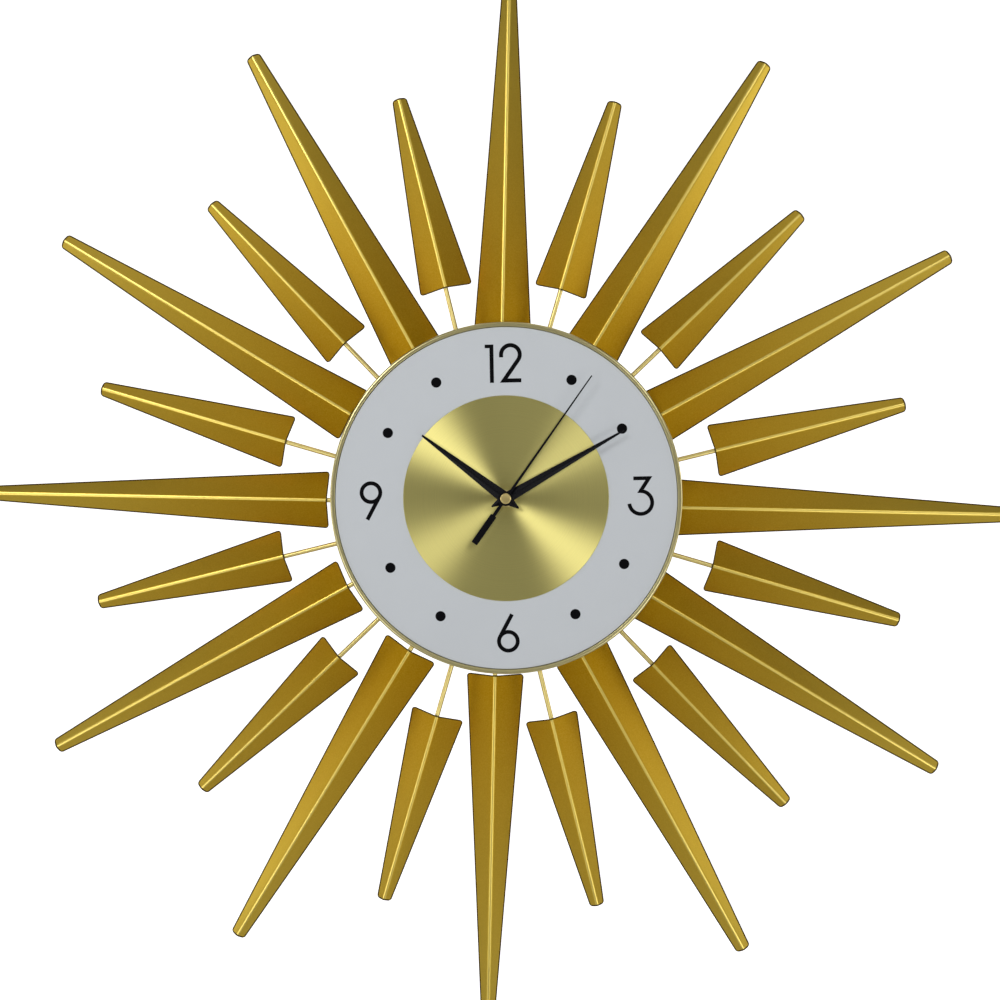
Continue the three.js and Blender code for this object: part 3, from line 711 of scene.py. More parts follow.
def ray_skin(inner, tip, inner_half, tip_half, seed):
    """The front skin of one folded ray pointing up y, about the rod's centre line.

    Also gives each face's material: 0 for the coat, 1 for a thin strip along the sheet's edges and ends
    that carries painted shade, a dark outline.
    """
    size = bpy.context.scene.clock_sizes
    slope, fold = size.slope, size.rod + ROD_GAP + size.sheet
    fold_half, fold_fall = fold * math.sin(slope), fold * math.cos(slope)
    corner_steps, fold_steps, row_length = 6, 10, 6 * MM

    def half_at(y):
        return inner_half + (tip_half - inner_half) * (y - inner) / (tip - inner)

    def corner_rows(radius):
        """How far beyond the straight edge each row of a corner lies, and how much it is narrowed."""
        angles = [math.pi / 2 * i / corner_steps for i in range(corner_steps)]
        return [(radius * math.cos(angle), radius * (1 - math.sin(angle))) for angle in angles]

    start, end = inner + size.corner, tip - size.tip_corner
    rows = [(start - beyond, trim) for beyond, trim in corner_rows(size.corner)]
    count = round((end - start) / row_length)
    rows += [(start + (end - start) * i / count, 0) for i in range(count + 1)]
    rows += [(end + beyond, trim) for beyond, trim in corner_rows(size.tip_corner)[::-1]]
    bends = [slope * (1 - 2 * i / fold_steps) for i in range(fold_steps + 1)]
    points, faces = [], []
    for y, trim in rows:
        half = half_at(y) - trim
        inside = 1 - size.strip / (half - fold_half)
        shares = [inside * i / 4 for i in range(1, 5)] + [1]
        line = [(-1, share) for share in reversed(shares)]
        line += [(0, bend) for bend in bends]
        line += [(1, share) for share in shares]
        for side, value in line:
            if side == 0:
                points.append((-fold * math.sin(value), y, fold * math.cos(value)))
                continue
            out = (half - fold_half) * value
            x = side * (fold_half + out)
            wave = noise.noise(Vector((seed * 9.7 + side * 3, y * 14, value * 0.6)))
            stray = size.waviness * wave * value
            points.append((x, y, fold_fall - out * math.tan(slope) + stray))
    across, marks = len(line), []
    for row in range(len(rows) - 1):
        y = (rows[row][0] + rows[row + 1][0]) / 2
        at_end = min(y - inner, tip - y) < size.strip
        for i in range(across - 1):
            first = row * across + i
            faces.append((first, first + 1, first + across + 1, first + across))
            # faces in the edge strip take the painted shade
            marks.append(1 if at_end or i in (0, across - 2) else 0)
    return points, faces, marks


class CLOCK_OT_rays(bpy.types.Operator):
    """Folds the twelve long and twelve short rays over their rods"""

    bl_idname = "clock.rays"
    bl_label = "Rays"

    def execute(self, context):
        size = context.scene.clock_sizes
        rod_depth = depths("long_ray_12")[1] - size.rod - ROD_GAP - size.sheet
        kinds = [("long_ray", 0, size.long_tip), ("short_ray", 0.5, size.short_tip)]
        for kind, offset, tip_half in kinds:
            inner, tip, half = self.sizes(f"{kind}_12", offset)
            for hour in range(1, HOURS + 1):
                node = f"{kind}_{hour:02d}"
                *shape, marks = ray_skin(inner, tip, half, tip_half, hour + 40 * offset)
                skin = Solid().add(shape)
                skin.marks = marks
                heading = clockwise((hour + offset) * 360 / HOURS)
                move = Matrix.Translation((*FRAME_AT, rod_depth)) @ heading
                # the second finish is the painted shade along the edges
                make(f"{node}_sheet", skin, "ray_gold", node, second="cut_edge", move=move,
                     thick=size.sheet, edge=0.16 * MM)
        return {"FINISHED"}

    @staticmethod
    def sizes(node, offset):
        """Inner end, tip and half width of a ray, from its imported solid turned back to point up."""
        upright = Matrix.Rotation(-math.radians(offset * 360 / HOURS), 3, "Y")
        centre = Vector((FRAME_AT[0], 0, FRAME_AT[1]))
        packed = frame["nodes"][node].data
        points = [upright @ (vertex.co - centre) for vertex in packed.vertices]
        heights = [point.z for point in points]
        return min(heights), max(heights), max(abs(point.x) for point in points)


class CLOCK_OT_frame(bpy.types.Operator):
    """Welds a rod for every ray across the hub plate"""

    bl_idname = "clock.frame"
    bl_label = "Rods and hub plate"

    def execute(self, context):
        size = context.scene.clock_sizes
        back, crest = depths("ray_frame")
        front = back + 1.2 * MM
        rod_depth = crest - size.rod
        solid = Solid()
        holes = [circle(BUSH_HOLE, 48)] + [circle(1.8 * MM, 24, x, y) for x, y in screw_places()]
        solid.add(plate(circle(80 * MM, 160, *FRAME_AT), back, front, holes, 0.2 * MM), mark=1)
        lift = Matrix.Translation((0, 0, rod_depth)) @ Matrix.Rotation(-math.pi / 2, 4, "X")
        rod = ring(0, size.rod, size.rod_inner, size.rod_outer, (0, 0.5, 0.5, 0), sides=28)
        hub_welds, hub_bead = (50 * MM, 73 * MM), (1.3 * MM, 4.2 * MM, 0.9 * MM)
        ray_ends, ray_bead = (118 * MM, 152 * MM), (0.9 * MM, 3.2 * MM, 0.7 * MM)
        for i in range(2 * HOURS):
            spin = Matrix.Translation((*FRAME_AT, 0)) @ clockwise(i * 180 / HOURS)
            solid.add(rod, spin @ lift)
            for j, radius in enumerate(hub_welds):
                for side in (-1, 1):
                    lump = bead(hub_bead, i + j * 31 + side * 7)
                    place = Matrix.Translation((side * 1.7 * MM, radius, front + 0.15 * MM))
                    solid.add(lump, spin @ place)
            inner, outer = ray_ends[i % 2], size.rod_outer
            for j, radius in enumerate((inner + 4 * MM, (inner + outer) / 2, outer - 6 * MM)):
                for side in (-1, 1):
                    lump = bead(ray_bead, i * 3 + j + side * 11)
                    place = Matrix.Translation((side * 1.75 * MM, radius, rod_depth + 0.45 * MM))
                    solid.add(lump, spin @ place)
        make("rods_and_hub", solid, "rod_gold", "ray_frame", second="hub_gold")
        return {"FINISHED"}


def screw_places():
    """Where the three pan screws stand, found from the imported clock."""
    return [middle(f"pan_screw_{number}") for number in (1, 2, 3)]


# ------------------------------------------------------------------ dial


class CLOCK_OT_dial(bpy.types.Operator):
    """Spins the dial pan and lays the white board and the brushed disc in it"""

    bl_idname = "clock.dial"
    bl_label = "Dial, rim and disc"

    def execute(self, context):
        size = context.scene.clock_sizes
        sides, hole, metal_sheet = 256, BUSH_HOLE, 0.8 * MM
        back, lip = depths("dial_pan")
        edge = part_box("dial_pan")[1].x
        wall = edge - size.lip
        shoulder = depths("dial_board")[0] - 0.1 * MM
        pan = rounded([
            (hole, back, 0), (104 * MM, back, 1 * MM),
            (105.5 * MM, shoulder - metal_sheet, 1 * MM), (edge, shoulder - metal_sheet, 1.2 * MM),
            (edge, lip - 0.15 * MM, 1.5 * MM), (edge - 1.7 * MM, lip, 1.2 * MM),
            (wall, lip - 0.35 * MM, 0.5 * MM), (wall, shoulder, 0),
            (105 * MM, shoulder, 0.4 * MM), (103.5 * MM, back + metal_sheet, 0.4 * MM),
            (hole, back + metal_sheet, 0),
        ], 6)
        make("spun_pan", turned(pan, sides), "pan_gold", "dial_pan", sharp=40)
        discs = [("printed_board", "dial_white", "dial_board", 35),
                 ("brushed_centre", "disc_gold", "centre_disc", 60)]
        for name, finish, node, sharp in discs:
            disc = ring(hole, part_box(node)[1].x, *depths(node), (0, 0, 0.3, 0), sides=sides)
            make(name, disc, finish, node, sharp=sharp)
        return {"FINISHED"}


def numeral_one():
    """The 1 of 12, as an outline and its holes. The other numerals are given in the same way."""
    stem_left, stem_right, flag_left, foot, head = -9.4, -6.7, -12.6, -13.3, 12.7
    flag_foot = 10.3
    corners = [(stem_left, foot), (stem_right, foot), (stem_right, head), (flag_left, head),
               (flag_left, flag_foot), (stem_left, flag_foot)]
    return [Vector(corner) * MM for corner in corners], []


def numeral_two():
    centre, radius, foot, pen = (4.8, 5.7), 6.35, -11.9, 2.75
    path = [Vector((centre[0] - radius, centre[1] - 1.8))] + arc(centre, radius, 180, -36, 28)
    path += [Vector((0, foot)), Vector((11.9, foot))]
    return [point * MM for point in stroke(path, pen)], []


def numeral_three():
    centre, radius, head, pen = (-0.4, -4.4), 7.75, 12.1, 2.55
    path = [Vector((-5.2, head)), Vector((5.35, head))] + arc(centre, radius, 90, -175, 36)
    return [point * MM for point in stroke(path, pen)], []


def numeral_six():
    """A ring with a straight tail that leans and leaves it at its left side. Upside down it is the 9."""
    centre, outer, pen, lean = Vector((0, -5.5)), 7.72, 2.65, math.radians(28.6)
    up = Vector((math.sin(lean), math.cos(lean)))
    left = Vector((-up.y, up.x))
    inner = outer - pen
    meet = left * inner + up * math.sqrt(outer ** 2 - inner ** 2)
    start = math.degrees(math.atan2(left.y, left.x))
    end = math.degrees(math.atan2(meet.y, meet.x)) + 360
    top = centre + up * 17.5
    loop = [top + left * outer] + arc(centre, outer, start, end, 56) + [top + left * inner]
    hole = arc(centre, inner, 0, 360, 48)[:-1]
    return [point * MM for point in loop], [[point * MM for point in hole]]


class CLOCK_OT_print(bpy.types.Operator):
    """Prints the hour dots and the numerals 12, 3, 6 and 9"""

    bl_idname = "clock.print"
    bl_label = "Numerals and dots"

    def execute(self, context):
        size = context.scene.clock_sizes
        back = depths("dial_board")[1] + 0.01 * MM
        front = back + size.print_height
        spin = Matrix.Rotation(-size.dial_turn, 4, "Z")
        dots = Solid()
        for hour in range(1, HOURS + 1):
            if hour % 3:
                dot = plate(circle(size.dot, 40, 0, size.dot_circle), back, front)
                dots.add(dot, clockwise(hour * 360 / HOURS))
        make("hour_dots", dots, "ink", slot="hand_black", move=spin)

        reach = size.numeral_circle
        numerals = [
            ("numeral_12", [numeral_one(), numeral_two()], (0, reach), 0),
            ("numeral_3", [numeral_three()], (reach, 0), 0),
            ("numeral_6", [numeral_six()], (0, -reach), 0),
            ("numeral_9", [numeral_six()], (-reach, 0), 180),
        ]
        for name, glyphs, (x, y), degrees in numerals:
            solid = Solid()
            place = Matrix.Translation((x, y, 0)) @ clockwise(degrees)
            for outline, holes in glyphs:
                solid.add(plate(outline, back, front, holes), place)
            make(name, solid, "ink", slot="hand_black", move=spin)
        return {"FINISHED"}


# ------------------------------------------------------------------ centre and hands


def six_sided(across, back, front, bore):
    """A hexagon nut with its corners chamfered off both faces."""
    points, faces, ring = [], [], []
    steps = 12
    for i in range(6 * steps):
        angle = 2 * math.pi * i / (6 * steps)
        local = (angle + math.pi / 6) % (math.pi / 3) - math.pi / 6
        ring.append((angle + math.pi / 6, across / 2 / math.cos(local)))
    flat = across / 2 * 0.97
    count = len(ring)
    for level in range(6):
        for angle, radius in ring:
            drop = max(0, (radius - flat)) * 0.58
            if level in (0, 5):
                r, z = bore, (back if level == 0 else front)
            elif level in (1, 4):
                r, z = flat, (back if level == 1 else front)
            else:
                r, z = radius, (back + drop if level == 2 else front - drop)
            points.append((r * math.cos(angle), r * math.sin(angle), z))
    for level in range(6):
        for i in range(count):
            j = (i + 1) % count
            row, after = level * count, (level + 1) % 6 * count
            faces.append((row + i, row + j, after + j, after + i))
    return points, faces


def blade(reach, tail, half, tip, bore, slope):
    """One face of a folded kite-shaped hand pointing up y, with a hole for its tube."""
    points, faces = [], []
    for side in (-1, 1):
        hole = [Vector((side * bore * math.sin(math.radians(a)), -bore * math.cos(math.radians(a))))
                for a in range(0, 181, 12)]
        loop = [Vector((0, -tail))] + hole + [Vector((0, reach)), Vector((side * tip, reach)),
                                              Vector((side * half, 0)), Vector((side * 0.5 * MM, -tail))]
        first = len(points)
        points += [(p.x, p.y, -abs(p.x) * math.tan(slope)) for p in loop]
        flat = [[Vector((p.x, p.y, 0)) for p in loop]]
        for face in tessellate_polygon(flat):
            a, b, c = (loop[i] for i in face)
            turn_back = (b - a).cross(c - a) < 0
            faces.append(tuple(first + i for i in (face[::-1] if turn_back else face)))
    return points, faces


class CLOCK_OT_centre(bpy.types.Operator):
    """Turns the nut, washers and threaded bush at the dial's centre"""

    bl_idname = "clock.centre"
    bl_label = "Centre fixings"

    def execute(self, context):
        nut = six_sided(11 * MM, *depths("bush_nut"), 4.2 * MM)
        make("centre_nut", nut, "brass", "bush_nut", sharp=20)
        washer = ring(BUSH_HOLE, 5.6 * MM, *depths("bush_washer"), (0, 0.1, 0.12, 0.1))
        make("centre_washer", washer, "steel", "bush_washer")
        washer = ring(BUSH_HOLE, 11 * MM, *depths("rubber_washer"), (0.1, 0.3, 0.3, 0.1), 4, 72)
        make("rubber_ring", washer, "rubber", "rubber_washer")
        self.bush()
        return {"FINISHED"}

    @staticmethod
    def bush():
        """A bush with a rolled thread from the case front to the dial."""
        back, front = depths("threaded_bush")
        case_front = depths("front_case")[1]
        bore, crest, root, pitch = 2.65 * MM, 4 * MM, 3.72 * MM, 0.75 * MM
        flange, flange_front = 5.5 * MM, case_front - 1.1 * MM
        profile = [(bore, back, 0), (flange, back, 0), (flange, flange_front, 0.1 * MM),
                   (crest, flange_front, 0), (crest, case_front, 0)]
        depth = case_front + 0.4 * MM
        while depth + pitch < front - 0.3 * MM:
            profile += [(root, depth, 0), (crest, depth + pitch / 2, 0)]
            depth += pitch
        profile += [(root, front - 0.25 * MM, 0), (root, front, 0.1 * MM), (bore, front, 0.1 * MM)]
        make("bush_with_thread", turned(rounded(profile, 2), 64), "brass", "threaded_bush")


class CLOCK_OT_hands(bpy.types.Operator):
    """Folds and fits the hour and minute hands, the second hand, its cap and the minute nut"""

    bl_idname = "clock.hands"
    bl_label = "Hands"

    def execute(self, context):
        hour_back = depths("bush_nut")[1] + 0.8 * MM
        minute_back = depths("hour_wheel")[1] + 0.5 * MM
        self.folded("hour", HOUR_HAND_AT, hour_back, reach=71, half=4.3, tip=0.7, hub=4.6, bore=2.65,
                    collar=1)
        self.folded("minute", MINUTE_HAND_AT, minute_back, reach=92, half=3.9, tip=0.6, hub=4.4,
                    bore=1.7, collar=0.9)
        self.second()
        self.nut_and_cap()
        return {"FINISHED"}

    @staticmethod
    def folded(name, turn_to, back, reach, half, tip, hub, bore, collar):
        """A folded blade on a collar. Its back is a depth, and the sizes after it are in millimetres."""
        tail, slope, sheet = 11 * MM, math.radians(14), 0.4 * MM
        front = back + collar * MM
        place = dict(body=f"{name}_arbor", move=clockwise(turn_to))
        kite = blade(reach * MM, tail, half * MM, tip * MM, bore * MM, slope)
        face = Solid().add(kite, Matrix.Translation((0, 0, front + sheet)))
        make(f"{name}_hand_blade", face, "hand_black", f"{name}_hand", sharp=20, thick=sheet,
             edge=0.1 * MM, **place)
        seat = ring(bore * MM, hub * MM, back, front, (0.08, 0.1, 0.2, 0.08))
        make(f"{name}_hand_collar", seat, "hand_black", **place)

    @staticmethod
    def second():
        """A needle with a weighted tail on a round collar."""
        back = depths("second_hand")[0]
        sheet_back, sheet_front = back + 0.1 * MM, back + 0.5 * MM
        corners = [(-1.1, 3, 1), (-1.1, -14, 0.2), (-2.2, -14, 0.4), (-2.2, -37, 0.4), (2.2, -37, 0.4),
                   (2.2, -14, 0.4), (1.1, -14, 0.2), (1.1, 3, 1), (0.9, 6, 0), (0.4, 101, 0.15),
                   (-0.4, 101, 0.15), (-0.9, 6, 0)]
        outline = rounded([(x * MM, y * MM, r * MM) for x, y, r in corners], 3)
        solid = Solid().add(plate(outline, sheet_back, sheet_front, chamfer=0.08 * MM))
        solid.add(ring(1.3 * MM, 5 * MM, back, back + 0.7 * MM, (0.05, 0.12, 0.2, 0.05), sides=72))
        make("second_needle", solid, "hand_black", "second_hand", body="second_arbor",
             move=clockwise(SECOND_HAND_AT))

    @staticmethod
    def nut_and_cap():
        """The round nut on the minute hand and the domed cap over the second hand."""
        nut = ring(1.7 * MM, 3.4 * MM, *depths("minute_nut"), (0.05, 0.1, 0.15, 0.05), sides=48)
        make("minute_ring", nut, "brass", "minute_nut", body="minute_arbor")
        back, front = depths("second_cap")
        seat = front - 1.2 * MM
        bore, tube, rim = 0.6 * MM, 1.1 * MM, 3.6 * MM
        profile = rounded([
            (bore, back, 0), (tube, back, 0.1 * MM), (tube, seat, 0), (rim, seat, 0.12 * MM),
            (rim, seat + 0.55 * MM, 0.2 * MM), (rim - 0.5 * MM, seat + 0.98 * MM, 0.35 * MM),
            (0, front, 0), (0, front - 0.7 * MM, 0), (bore, front - 0.7 * MM, 0),
        ], 5)
        make("brass_cap", turned(profile, 72), "brass", "second_cap", body="second_arbor")


# ------------------------------------------------------------------ hanger and screws


class CLOCK_OT_hanger(bpy.types.Operator):
    """Bends the keyhole hanger and drives the three pan screws"""

    bl_idname = "clock.hanger"
    bl_label = "Hanger and screws"

    def execute(self, context):
        self.strip()
        for number, (x, y) in enumerate(screw_places(), 1):
            self.screw(number, x, y)
        return {"FINISHED"}

    @staticmethod
    def strip():
        """A strip bent back twice, drawn as the skin that faces the dial."""
        low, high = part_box("hanger")
        back, front = depths("hanger")
        half, foot, top, thick = high.x, low.z, high.z, 1.2 * MM
        riser = 45 * MM + thick
        bend, steps = 1.6 * MM, 6
        tab_front = back + thick
        side = [Vector((foot, front)), Vector((riser - bend, front))]
        side += arc((riser - bend, front - bend), bend, 90, 0, steps)[1:]
        inner = bend - thick
        side += arc((riser + inner, tab_front + inner), inner, 180, 270, steps)
        points, faces = [], []
        for y, depth in side:
            points += [(-half, y, depth), (half, y, depth)]
        for i in range(len(side) - 1):
            faces.append((2 * i, 2 * i + 1, 2 * i + 3, 2 * i + 2))
        outer = window(-half, half, side[-1].x, top, 0, 3 * MM, 6)
        key, slot_at, big, small = 54 * MM, 62 * MM, 5 * MM, 2.4 * MM
        spread = math.degrees(math.asin(small / big))
        hole = arc((0, key), big, 90 + spread, 450 - spread, 28)
        hole += arc((0, slot_at), small, 0, 180, 12)
        loops = [[Vector((p.x, p.y, 0)) for p in loop] for loop in (outer, hole)]
        flat = [p for loop in loops for p in loop]
        first = len(points)
        points += [(p.x, p.y, tab_front) for p in flat]
        for face in tessellate_polygon(loops):
            a, b, c = (flat[i] for i in face)
            face = face[::-1] if (b - a).cross(c - a).z < 0 else face
            faces.append(tuple(first + i for i in face))
        make("keyhole_hanger", (points, faces), "steel", "hanger", thick=thick, edge=0.15 * MM)

    @staticmethod
    def screw(number, x, y):
        """A pan-head screw with a cross recess, its head behind the hub plate."""
        node = f"pan_screw_{number}"
        back, front = depths(node)
        flat_top, head, shank, recess = 1.9 * MM, 2.8 * MM, 1.5 * MM, 0.9 * MM
        seat = back + 1.6 * MM
        arm, web = 1.35 * MM, 0.36 * MM
        cross = []
        for quarter in range(4):
            spin = Matrix.Rotation(quarter * math.pi / 2, 2)
            cross += [spin @ Vector(p) for p in ((web, -web), (arm, -web), (arm, web))]
        sides, pitch = 48, 0.6 * MM
        rim = circle(flat_top, sides)
        crown = [(flat_top, back, 0), (2.5 * MM, back + 0.25 * MM, 0.3 * MM),
                 (head, back + 0.8 * MM, 0.3 * MM), (head, seat, 0.1 * MM), (shank, seat, 0)]
        profile = rounded(crown, 3)
        depth = seat
        while depth < front - 1.2 * MM:
            profile.append(Vector((shank - 0.22 * MM, depth + pitch / 2)))
            profile.append(Vector((shank, depth + pitch)))
            depth += pitch
        profile += [Vector((shank * 0.6, front)), Vector((0, front))]
        solid = Solid().add(turned(profile, sides, closed=False))
        loops = [[Vector((p.x, p.y, 0)) for p in loop] for loop in (rim, cross)]
        flat = [p for loop in loops for p in loop]
        solid.add(([(p.x, p.y, back) for p in flat], list(tessellate_polygon(loops))))
        walls = [(p.x, p.y, back) for p in cross]
        walls += [(p.x * 0.8, p.y * 0.8, back + recess) for p in cross]
        size = len(cross)
        faces = [(i, (i + 1) % size, size + (i + 1) % size, size + i) for i in range(size)]
        solid.add((walls, faces + [tuple(range(size, 2 * size))]))
        make(f"{node}_cross", solid, "steel", node, move=Matrix.Translation((x, y, 0)))


# ------------------------------------------------------------------ movement


def rounded_square(half, corner):
    """The outline of a square about the hands' axis."""
    return window(-half, half, -half, half, corner, corner, 8)


def block(x0, x1, y0, y1, back, front, chamfer=0.2 * MM):
    """A moulded block with broken edges."""
    return plate(window(x0, x1, y0, y1, 0, 0), back, front, chamfer=chamfer)


class CLOCK_OT_case(bpy.types.Operator):
    """Moulds the movement's case, its rear cover and the setting knob"""

    bl_idname = "clock.case"
    bl_label = "Movement case"

    def execute(self, context):
        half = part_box("front_case")[1].x
        back, front = depths("front_case")
        wall, corner, ceiling = 1.2 * MM, 4 * MM, 1 * MM
        case = Solid()
        outer, inner = rounded_square(half, corner), rounded_square(half - wall, corner - wall)
        case.add(plate(outer, back, front - 0.8 * MM, [inner], 0.12 * MM))
        case.add(plate(outer, front - ceiling, front, [circle(4.2 * MM, 48)], 0.35 * MM))
        partition = (-24.9 * MM, 24.9 * MM, -11.6 * MM, -10.4 * MM)
        case.add(block(*partition, back + 0.4 * MM, front - ceiling))
        for spin in range(4):
            for offset in (-12, 12):
                rib = block((offset - 2.5) * MM, (offset + 2.5) * MM, half - 0.3 * MM, half - 0.02 * MM,
                            back + 1.5 * MM, front - 2 * MM, 0.1 * MM)
                case.add(rib, Matrix.Rotation(spin * math.pi / 2, 4, "Z"))
        make("moulded_case", case, "case_plastic", "front_case")
        self.cover(half, corner)
        self.knob()
        return {"FINISHED"}

    @staticmethod
    def cover(half, corner):
        """The rear cover, open at the battery bay and round the knob, with its raised marks."""
        back = depths("rear_cover")[0]
        thick, relief_back, relief_front = 1.2 * MM, back + 0.1 * MM, back + 0.4 * MM
        x, y = middle("setting_knob")
        bay = window(-26.2 * MM, 26.2 * MM, -26.6 * MM, -11.7 * MM, 1.2 * MM, 1.2 * MM)
        knob_hole = circle(5.5 * MM, 48, x, y)
        cover = Solid()
        cover.add(plate(rounded_square(half, corner), back + 0.3 * MM, back + thick,
                        [bay, knob_hole], 0.15 * MM))
        step = 0.8 * MM
        frame_out = rounded_square(half - step, corner - step)
        frame_in = window(-26.4 * MM, 26.4 * MM, -11.2 * MM, 26.4 * MM, 1 * MM, 2 * MM)
        cover.add(plate(frame_out, back, relief_front, [frame_in, bay], 0.08 * MM))
        ring_out, ring_in = circle(6.9 * MM, 64, x, y), circle(5.9 * MM, 64, x, y)
        cover.add(plate(ring_out, back + 0.05 * MM, relief_front, [ring_in], 0.08 * MM))
        for start in (100, 280):
            sweep = arc((x, y), 8.6 * MM, start, start + 62, 14)
            cover.add(plate(stroke(sweep, 0.7 * MM), relief_back, relief_front))
            tip = sweep[-1]
            ahead = (tip - sweep[-2]).normalized()
            side = Vector((-ahead.y, ahead.x)) * 1.1 * MM
            cover.add(plate([tip + side, tip - side, tip + ahead * 2 * MM], relief_back, relief_front))
        bar_low, bar_high = -9.2 * MM, -8.5 * MM
        for x0 in (-20 * MM, 16 * MM):
            cover.add(block(x0, x0 + 4 * MM, bar_low, bar_high, relief_back, relief_front, 0))
        cover.add(block(17.65 * MM, 18.35 * MM, -10.85 * MM, -6.85 * MM, relief_back,
                        relief_front - 0.01 * MM, 0))
        for x0 in (-17.5 * MM, 12.5 * MM):
            cover.add(block(x0, x0 + 5 * MM, half - 2.5 * MM, half - 1.6 * MM, back + 1 * MM,
                            6 * MM, 0.1 * MM))
        make("moulded_cover", cover, "case_plastic", "rear_cover")

    @staticmethod
    def knob():
        """The knurled setting knob, dished on its face."""
        back, front = depths("setting_knob")
        grips, outer, root = 24, 4.95 * MM, 4.6 * MM
        loop = []
        for i in range(grips * 6):
            angle = 2 * math.pi * i / (grips * 6)
            swell = 0.5 + 0.5 * math.cos(grips * angle)
            radius = root + (outer - root) * swell ** 0.6
            loop.append(Vector((radius * math.cos(angle), radius * math.sin(angle))))
        knob = Solid()
        knob.add(plate(loop, back, back + 2.6 * MM, [circle(3.4 * MM, 48)], 0.12 * MM))
        knob.add(plate(circle(3.5 * MM, 48), back + 0.5 * MM, back + 2.4 * MM, chamfer=0.1 * MM))
        knob.add(ring(0, 1 * MM, back + 2 * MM, front, (0, 0, 0.2, 0), 2, 24))
        make("knurled_knob", knob, "gear_plastic", "setting_knob", body="knob_arbor",
             move=Matrix.Translation((*middle("setting_knob"), 0)))


class CLOCK_OT_battery(bpy.types.Operator):
    """Fits the cell and the spring that presses on it"""

    bl_idname = "clock.battery"
    bl_label = "Cell and contacts"

    def execute(self, context):
        low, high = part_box("battery")
        y, depth = (low.z + high.z) / 2, -(low.y + high.y) / 2
        radius = (high.z - low.z) / 2
        start, nub = low.x, high.x
        end = nub - 1.1 * MM
        lie = Matrix.Rotation(math.pi / 2, 4, "Y")
        profile = rounded([
            (0, start + 0.25 * MM, 0), (4.6 * MM, start + 0.25 * MM, 0.1 * MM),
            (4.8 * MM, start + 0.02 * MM, 0.1 * MM), (6.2 * MM, start + 0.02 * MM, 0.3 * MM),
            (6.5 * MM, start + 0.3 * MM, 0.2 * MM), (radius, start + 0.55 * MM, 0.35 * MM),
            (radius, end - 0.5 * MM, 0.35 * MM), (6.3 * MM, end - 0.15 * MM, 0.2 * MM),
            (4.9 * MM, end, 0.2 * MM), (4.5 * MM, end - 0.25 * MM, 0.1 * MM),
            (2.9 * MM, end - 0.25 * MM, 0.2 * MM), (2.6 * MM, nub, 0.35 * MM), (0, nub, 0),
        ], 4)
        points, faces = turned(profile, 72)
        cell = Solid()
        for face in faces:
            along = sum(points[i][2] for i in face) / len(face)
            bare = along < start + 0.45 * MM or along > end - 0.35 * MM
            cell.faces.append(face)
            cell.marks.append(1 if bare else 0)
        cell.points = [lie @ Vector(p) for p in points]
        make("cell", cell, "battery_wrap", "battery", second="steel", body="battery_cell",
             move=Matrix.Translation((0, y, depth)))
        self.spring(y, depth)
        return {"FINISHED"}

    @staticmethod
    def spring(y, depth):
        """A contact plate with a tapering coil that presses on the cell."""
        low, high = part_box("contact_negative")
        thick = 0.5 * MM
        leaf = (low.x, low.x + thick, low.z, high.z, *depths("contact_negative"))
        solid = Solid().add(block(*leaf, 0.1 * MM))
        turns, steps, thickness = 2.5, 60, 0.22 * MM
        path = []
        for i in range(steps + 1):
            share = i / steps
            angle = 2 * math.pi * turns * share
            radius = (3.6 - 1.2 * share) * MM
            x = low.x + thick + (high.x - low.x - thick - thickness) * share
            across = radius * math.cos(angle), radius * math.sin(angle)
            path.append(Vector((x, y + across[0], depth + across[1])))
        solid.add(wire(path, thickness))
        make("spring_contact", solid, "steel", "contact_negative")


class CLOCK_OT_inner(bpy.types.Operator):
    """Gives the pieces inside the movement their finishes"""

    bl_idname = "clock.inner"
    bl_label = "Inner pieces"

    def execute(self, context):
        slots = {row["node"]: row["material_slot"] for row in frame["record"]["subparts"]}
        for name, node in frame["nodes"].items():
            if node.hide_render:
                continue
            for material in node.material_slots:
                material.material = finishes()[slots[name]]
        return {"FINISHED"}


# ------------------------------------------------------------------ studio


def aim(place, target, roll=0.0):
    """A matrix at a place that looks at a target."""
    facing = (Vector(target) - Vector(place)).to_track_quat("-Z", "Y").to_matrix().to_4x4()
    return Matrix.Translation(place) @ facing @ Matrix.Rotation(roll, 4, "Z")


# name, degrees off the clock's axis, degrees clockwise from twelve, width in metres, power in watts
SOFTBOXES = [
    ("front_softbox", 12, 20, 0.6, 0.4),
    ("upper_right_softbox", 38, 50, 0.5, 2.1),
    ("lower_right_softbox", 38, 128, 0.5, 2.3),
    ("lower_left_softbox", 38, 236, 0.5, 2.3),
    ("upper_left_softbox", 38, 306, 0.5, 4.6),
    ("top_softbox", 66, 2, 1.0, 1.7),
    ("right_softbox", 78, 88, 0.6, 2.6),
    ("left_softbox", 80, 268, 0.6, 2.2),
]
SOFTBOX_DISTANCE = 1.3
CAMERA_AT = (0.013, -0.87, 0.0141)
CAMERA_TARGET = (-0.0041, -0.02, -0.0013)


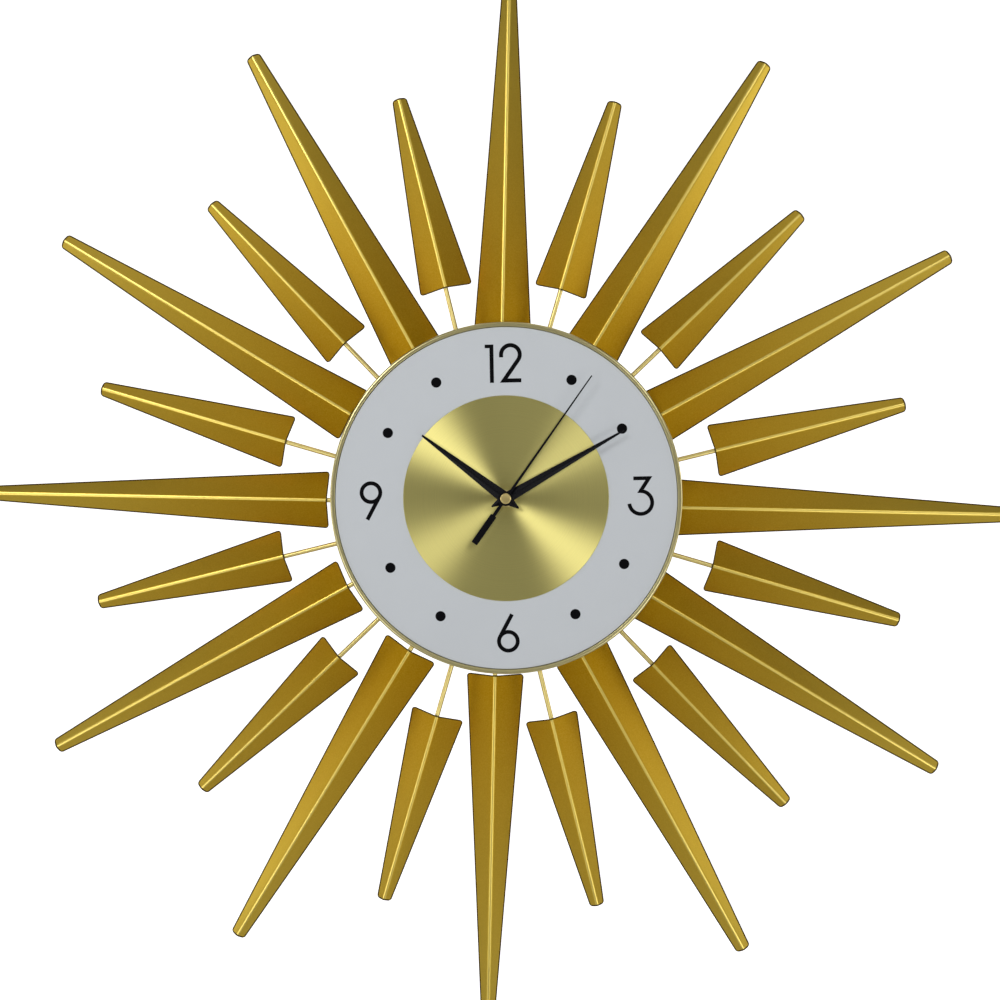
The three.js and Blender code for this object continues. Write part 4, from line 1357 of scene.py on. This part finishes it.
class CLOCK_OT_studio(bpy.types.Operator):
    """Sets up a white surround, soft boxes, a pale floor and the camera"""

    bl_idname = "clock.studio"
    bl_label = "Studio"

    def execute(self, context):
        scene, studio = context.scene, context.scene.clock_studio
        scene.view_settings.view_transform = "Standard"
        self.surround(scene, studio.surround)
        self.softboxes(scene)
        self.backdrop(scene)
        self.camera(scene, studio.lens, studio.roll)
        return {"FINISHED"}

    @staticmethod
    def surround(scene, strength):
        world = bpy.data.worlds.new("white surround")
        world.use_nodes = True
        background = world.node_tree.nodes["Background"]
        background.inputs["Color"].default_value = (1, 1, 1, 1)
        background.inputs["Strength"].default_value = strength
        scene.world = world

    @staticmethod
    def softboxes(scene):
        """Round soft boxes on a sphere in front of the clock, all aimed at its centre."""
        for name, off_axis, heading, width, watts in SOFTBOXES:
            lamp = bpy.data.lights.new(name, "AREA")
            lamp.shape, lamp.size, lamp.energy = "DISK", width, watts
            box = bpy.data.objects.new(name, lamp)
            scene.collection.objects.link(box)
            lean, heading = math.radians(off_axis), math.radians(heading)
            side, ahead = math.sin(lean) * SOFTBOX_DISTANCE, math.cos(lean) * SOFTBOX_DISTANCE
            place = (side * math.sin(heading), -ahead, side * math.cos(heading))
            box.matrix_world = aim(place, (0, 0, 0))

    @staticmethod
    def backdrop(scene):
        """A white backdrop and a pale floor, both far larger than the clock."""
        white = Finish("backdrop white", base_color=(0.9, 0.9, 0.9), roughness=1.0,
                       emission_color=(1, 1, 1), emission_strength=1.0)
        floor = Finish("pale floor", base_color=(0.8, 0.8, 0.79))
        speck = floor.noise(0.02, 3)
        floor.feed("Roughness", 0.7 + speck * 0.1)
        wide, wall, low, high, near = 20, 2.7, -1.62, 12, -12
        foot, top, front = (wall, low), (wall, high), (near, low)
        sheets = [("backdrop", foot, top, white), ("floor", front, foot, floor)]
        for name, first, last, finish in sheets:
            corners = [(-wide, *first), (wide, *first), (wide, *last), (-wide, *last)]
            mesh = bpy.data.meshes.new(name)
            mesh.from_pydata(corners, [], [(0, 1, 2, 3)])
            mesh.materials.append(finish.material)
            piece = bpy.data.objects.new(name, mesh)
            scene.collection.objects.link(piece)

    @staticmethod
    def camera(scene, lens, roll):
        view = bpy.data.cameras.new("camera")
        view.lens, view.sensor_width = lens, 36
        camera = bpy.data.objects.new("camera", view)
        scene.collection.objects.link(camera)
        camera.matrix_world = aim(CAMERA_AT, CAMERA_TARGET, roll)
        scene.camera = camera


# ------------------------------------------------------------------ panel and main

STEPS = [
    CLOCK_OT_studio, CLOCK_OT_rays, CLOCK_OT_frame, CLOCK_OT_dial, CLOCK_OT_print, CLOCK_OT_centre,
    CLOCK_OT_hands, CLOCK_OT_hanger, CLOCK_OT_case, CLOCK_OT_battery, CLOCK_OT_inner,
]
GROUPS = {"clock_sizes": ClockSizes, "clock_colours": ClockColours, "clock_studio": ClockStudio}


class CLOCK_PT_pieces(bpy.types.Panel):
    """The clock's pieces, sizes and colours"""

    bl_idname = "CLOCK_PT_pieces"
    bl_label = "Sunburst Wall Clock"
    bl_space_type = "VIEW_3D"
    bl_region_type = "UI"
    bl_category = "Clock"

    def draw(self, context):
        for step in STEPS:
            self.layout.operator(step.bl_idname)
        for name, group in GROUPS.items():
            box = self.layout.box()
            for key in group.__annotations__:
                box.prop(getattr(context.scene, name), key)


def register():
    for group in GROUPS.values():
        bpy.utils.register_class(group)
    for name, group in GROUPS.items():
        setattr(bpy.types.Scene, name, PointerProperty(type=group))
    for step in STEPS:
        bpy.utils.register_class(step)
    bpy.utils.register_class(CLOCK_PT_pieces)


def unregister():
    bpy.utils.unregister_class(CLOCK_PT_pieces)
    for step in reversed(STEPS):
        bpy.utils.unregister_class(step)
    for name, group in GROUPS.items():
        delattr(bpy.types.Scene, name)
        bpy.utils.unregister_class(group)


def main():
    register()
    for step in STEPS:
        group, name = step.bl_idname.split(".")
        getattr(getattr(bpy.ops, group), name)()


if __name__ == "__main__":
    main()
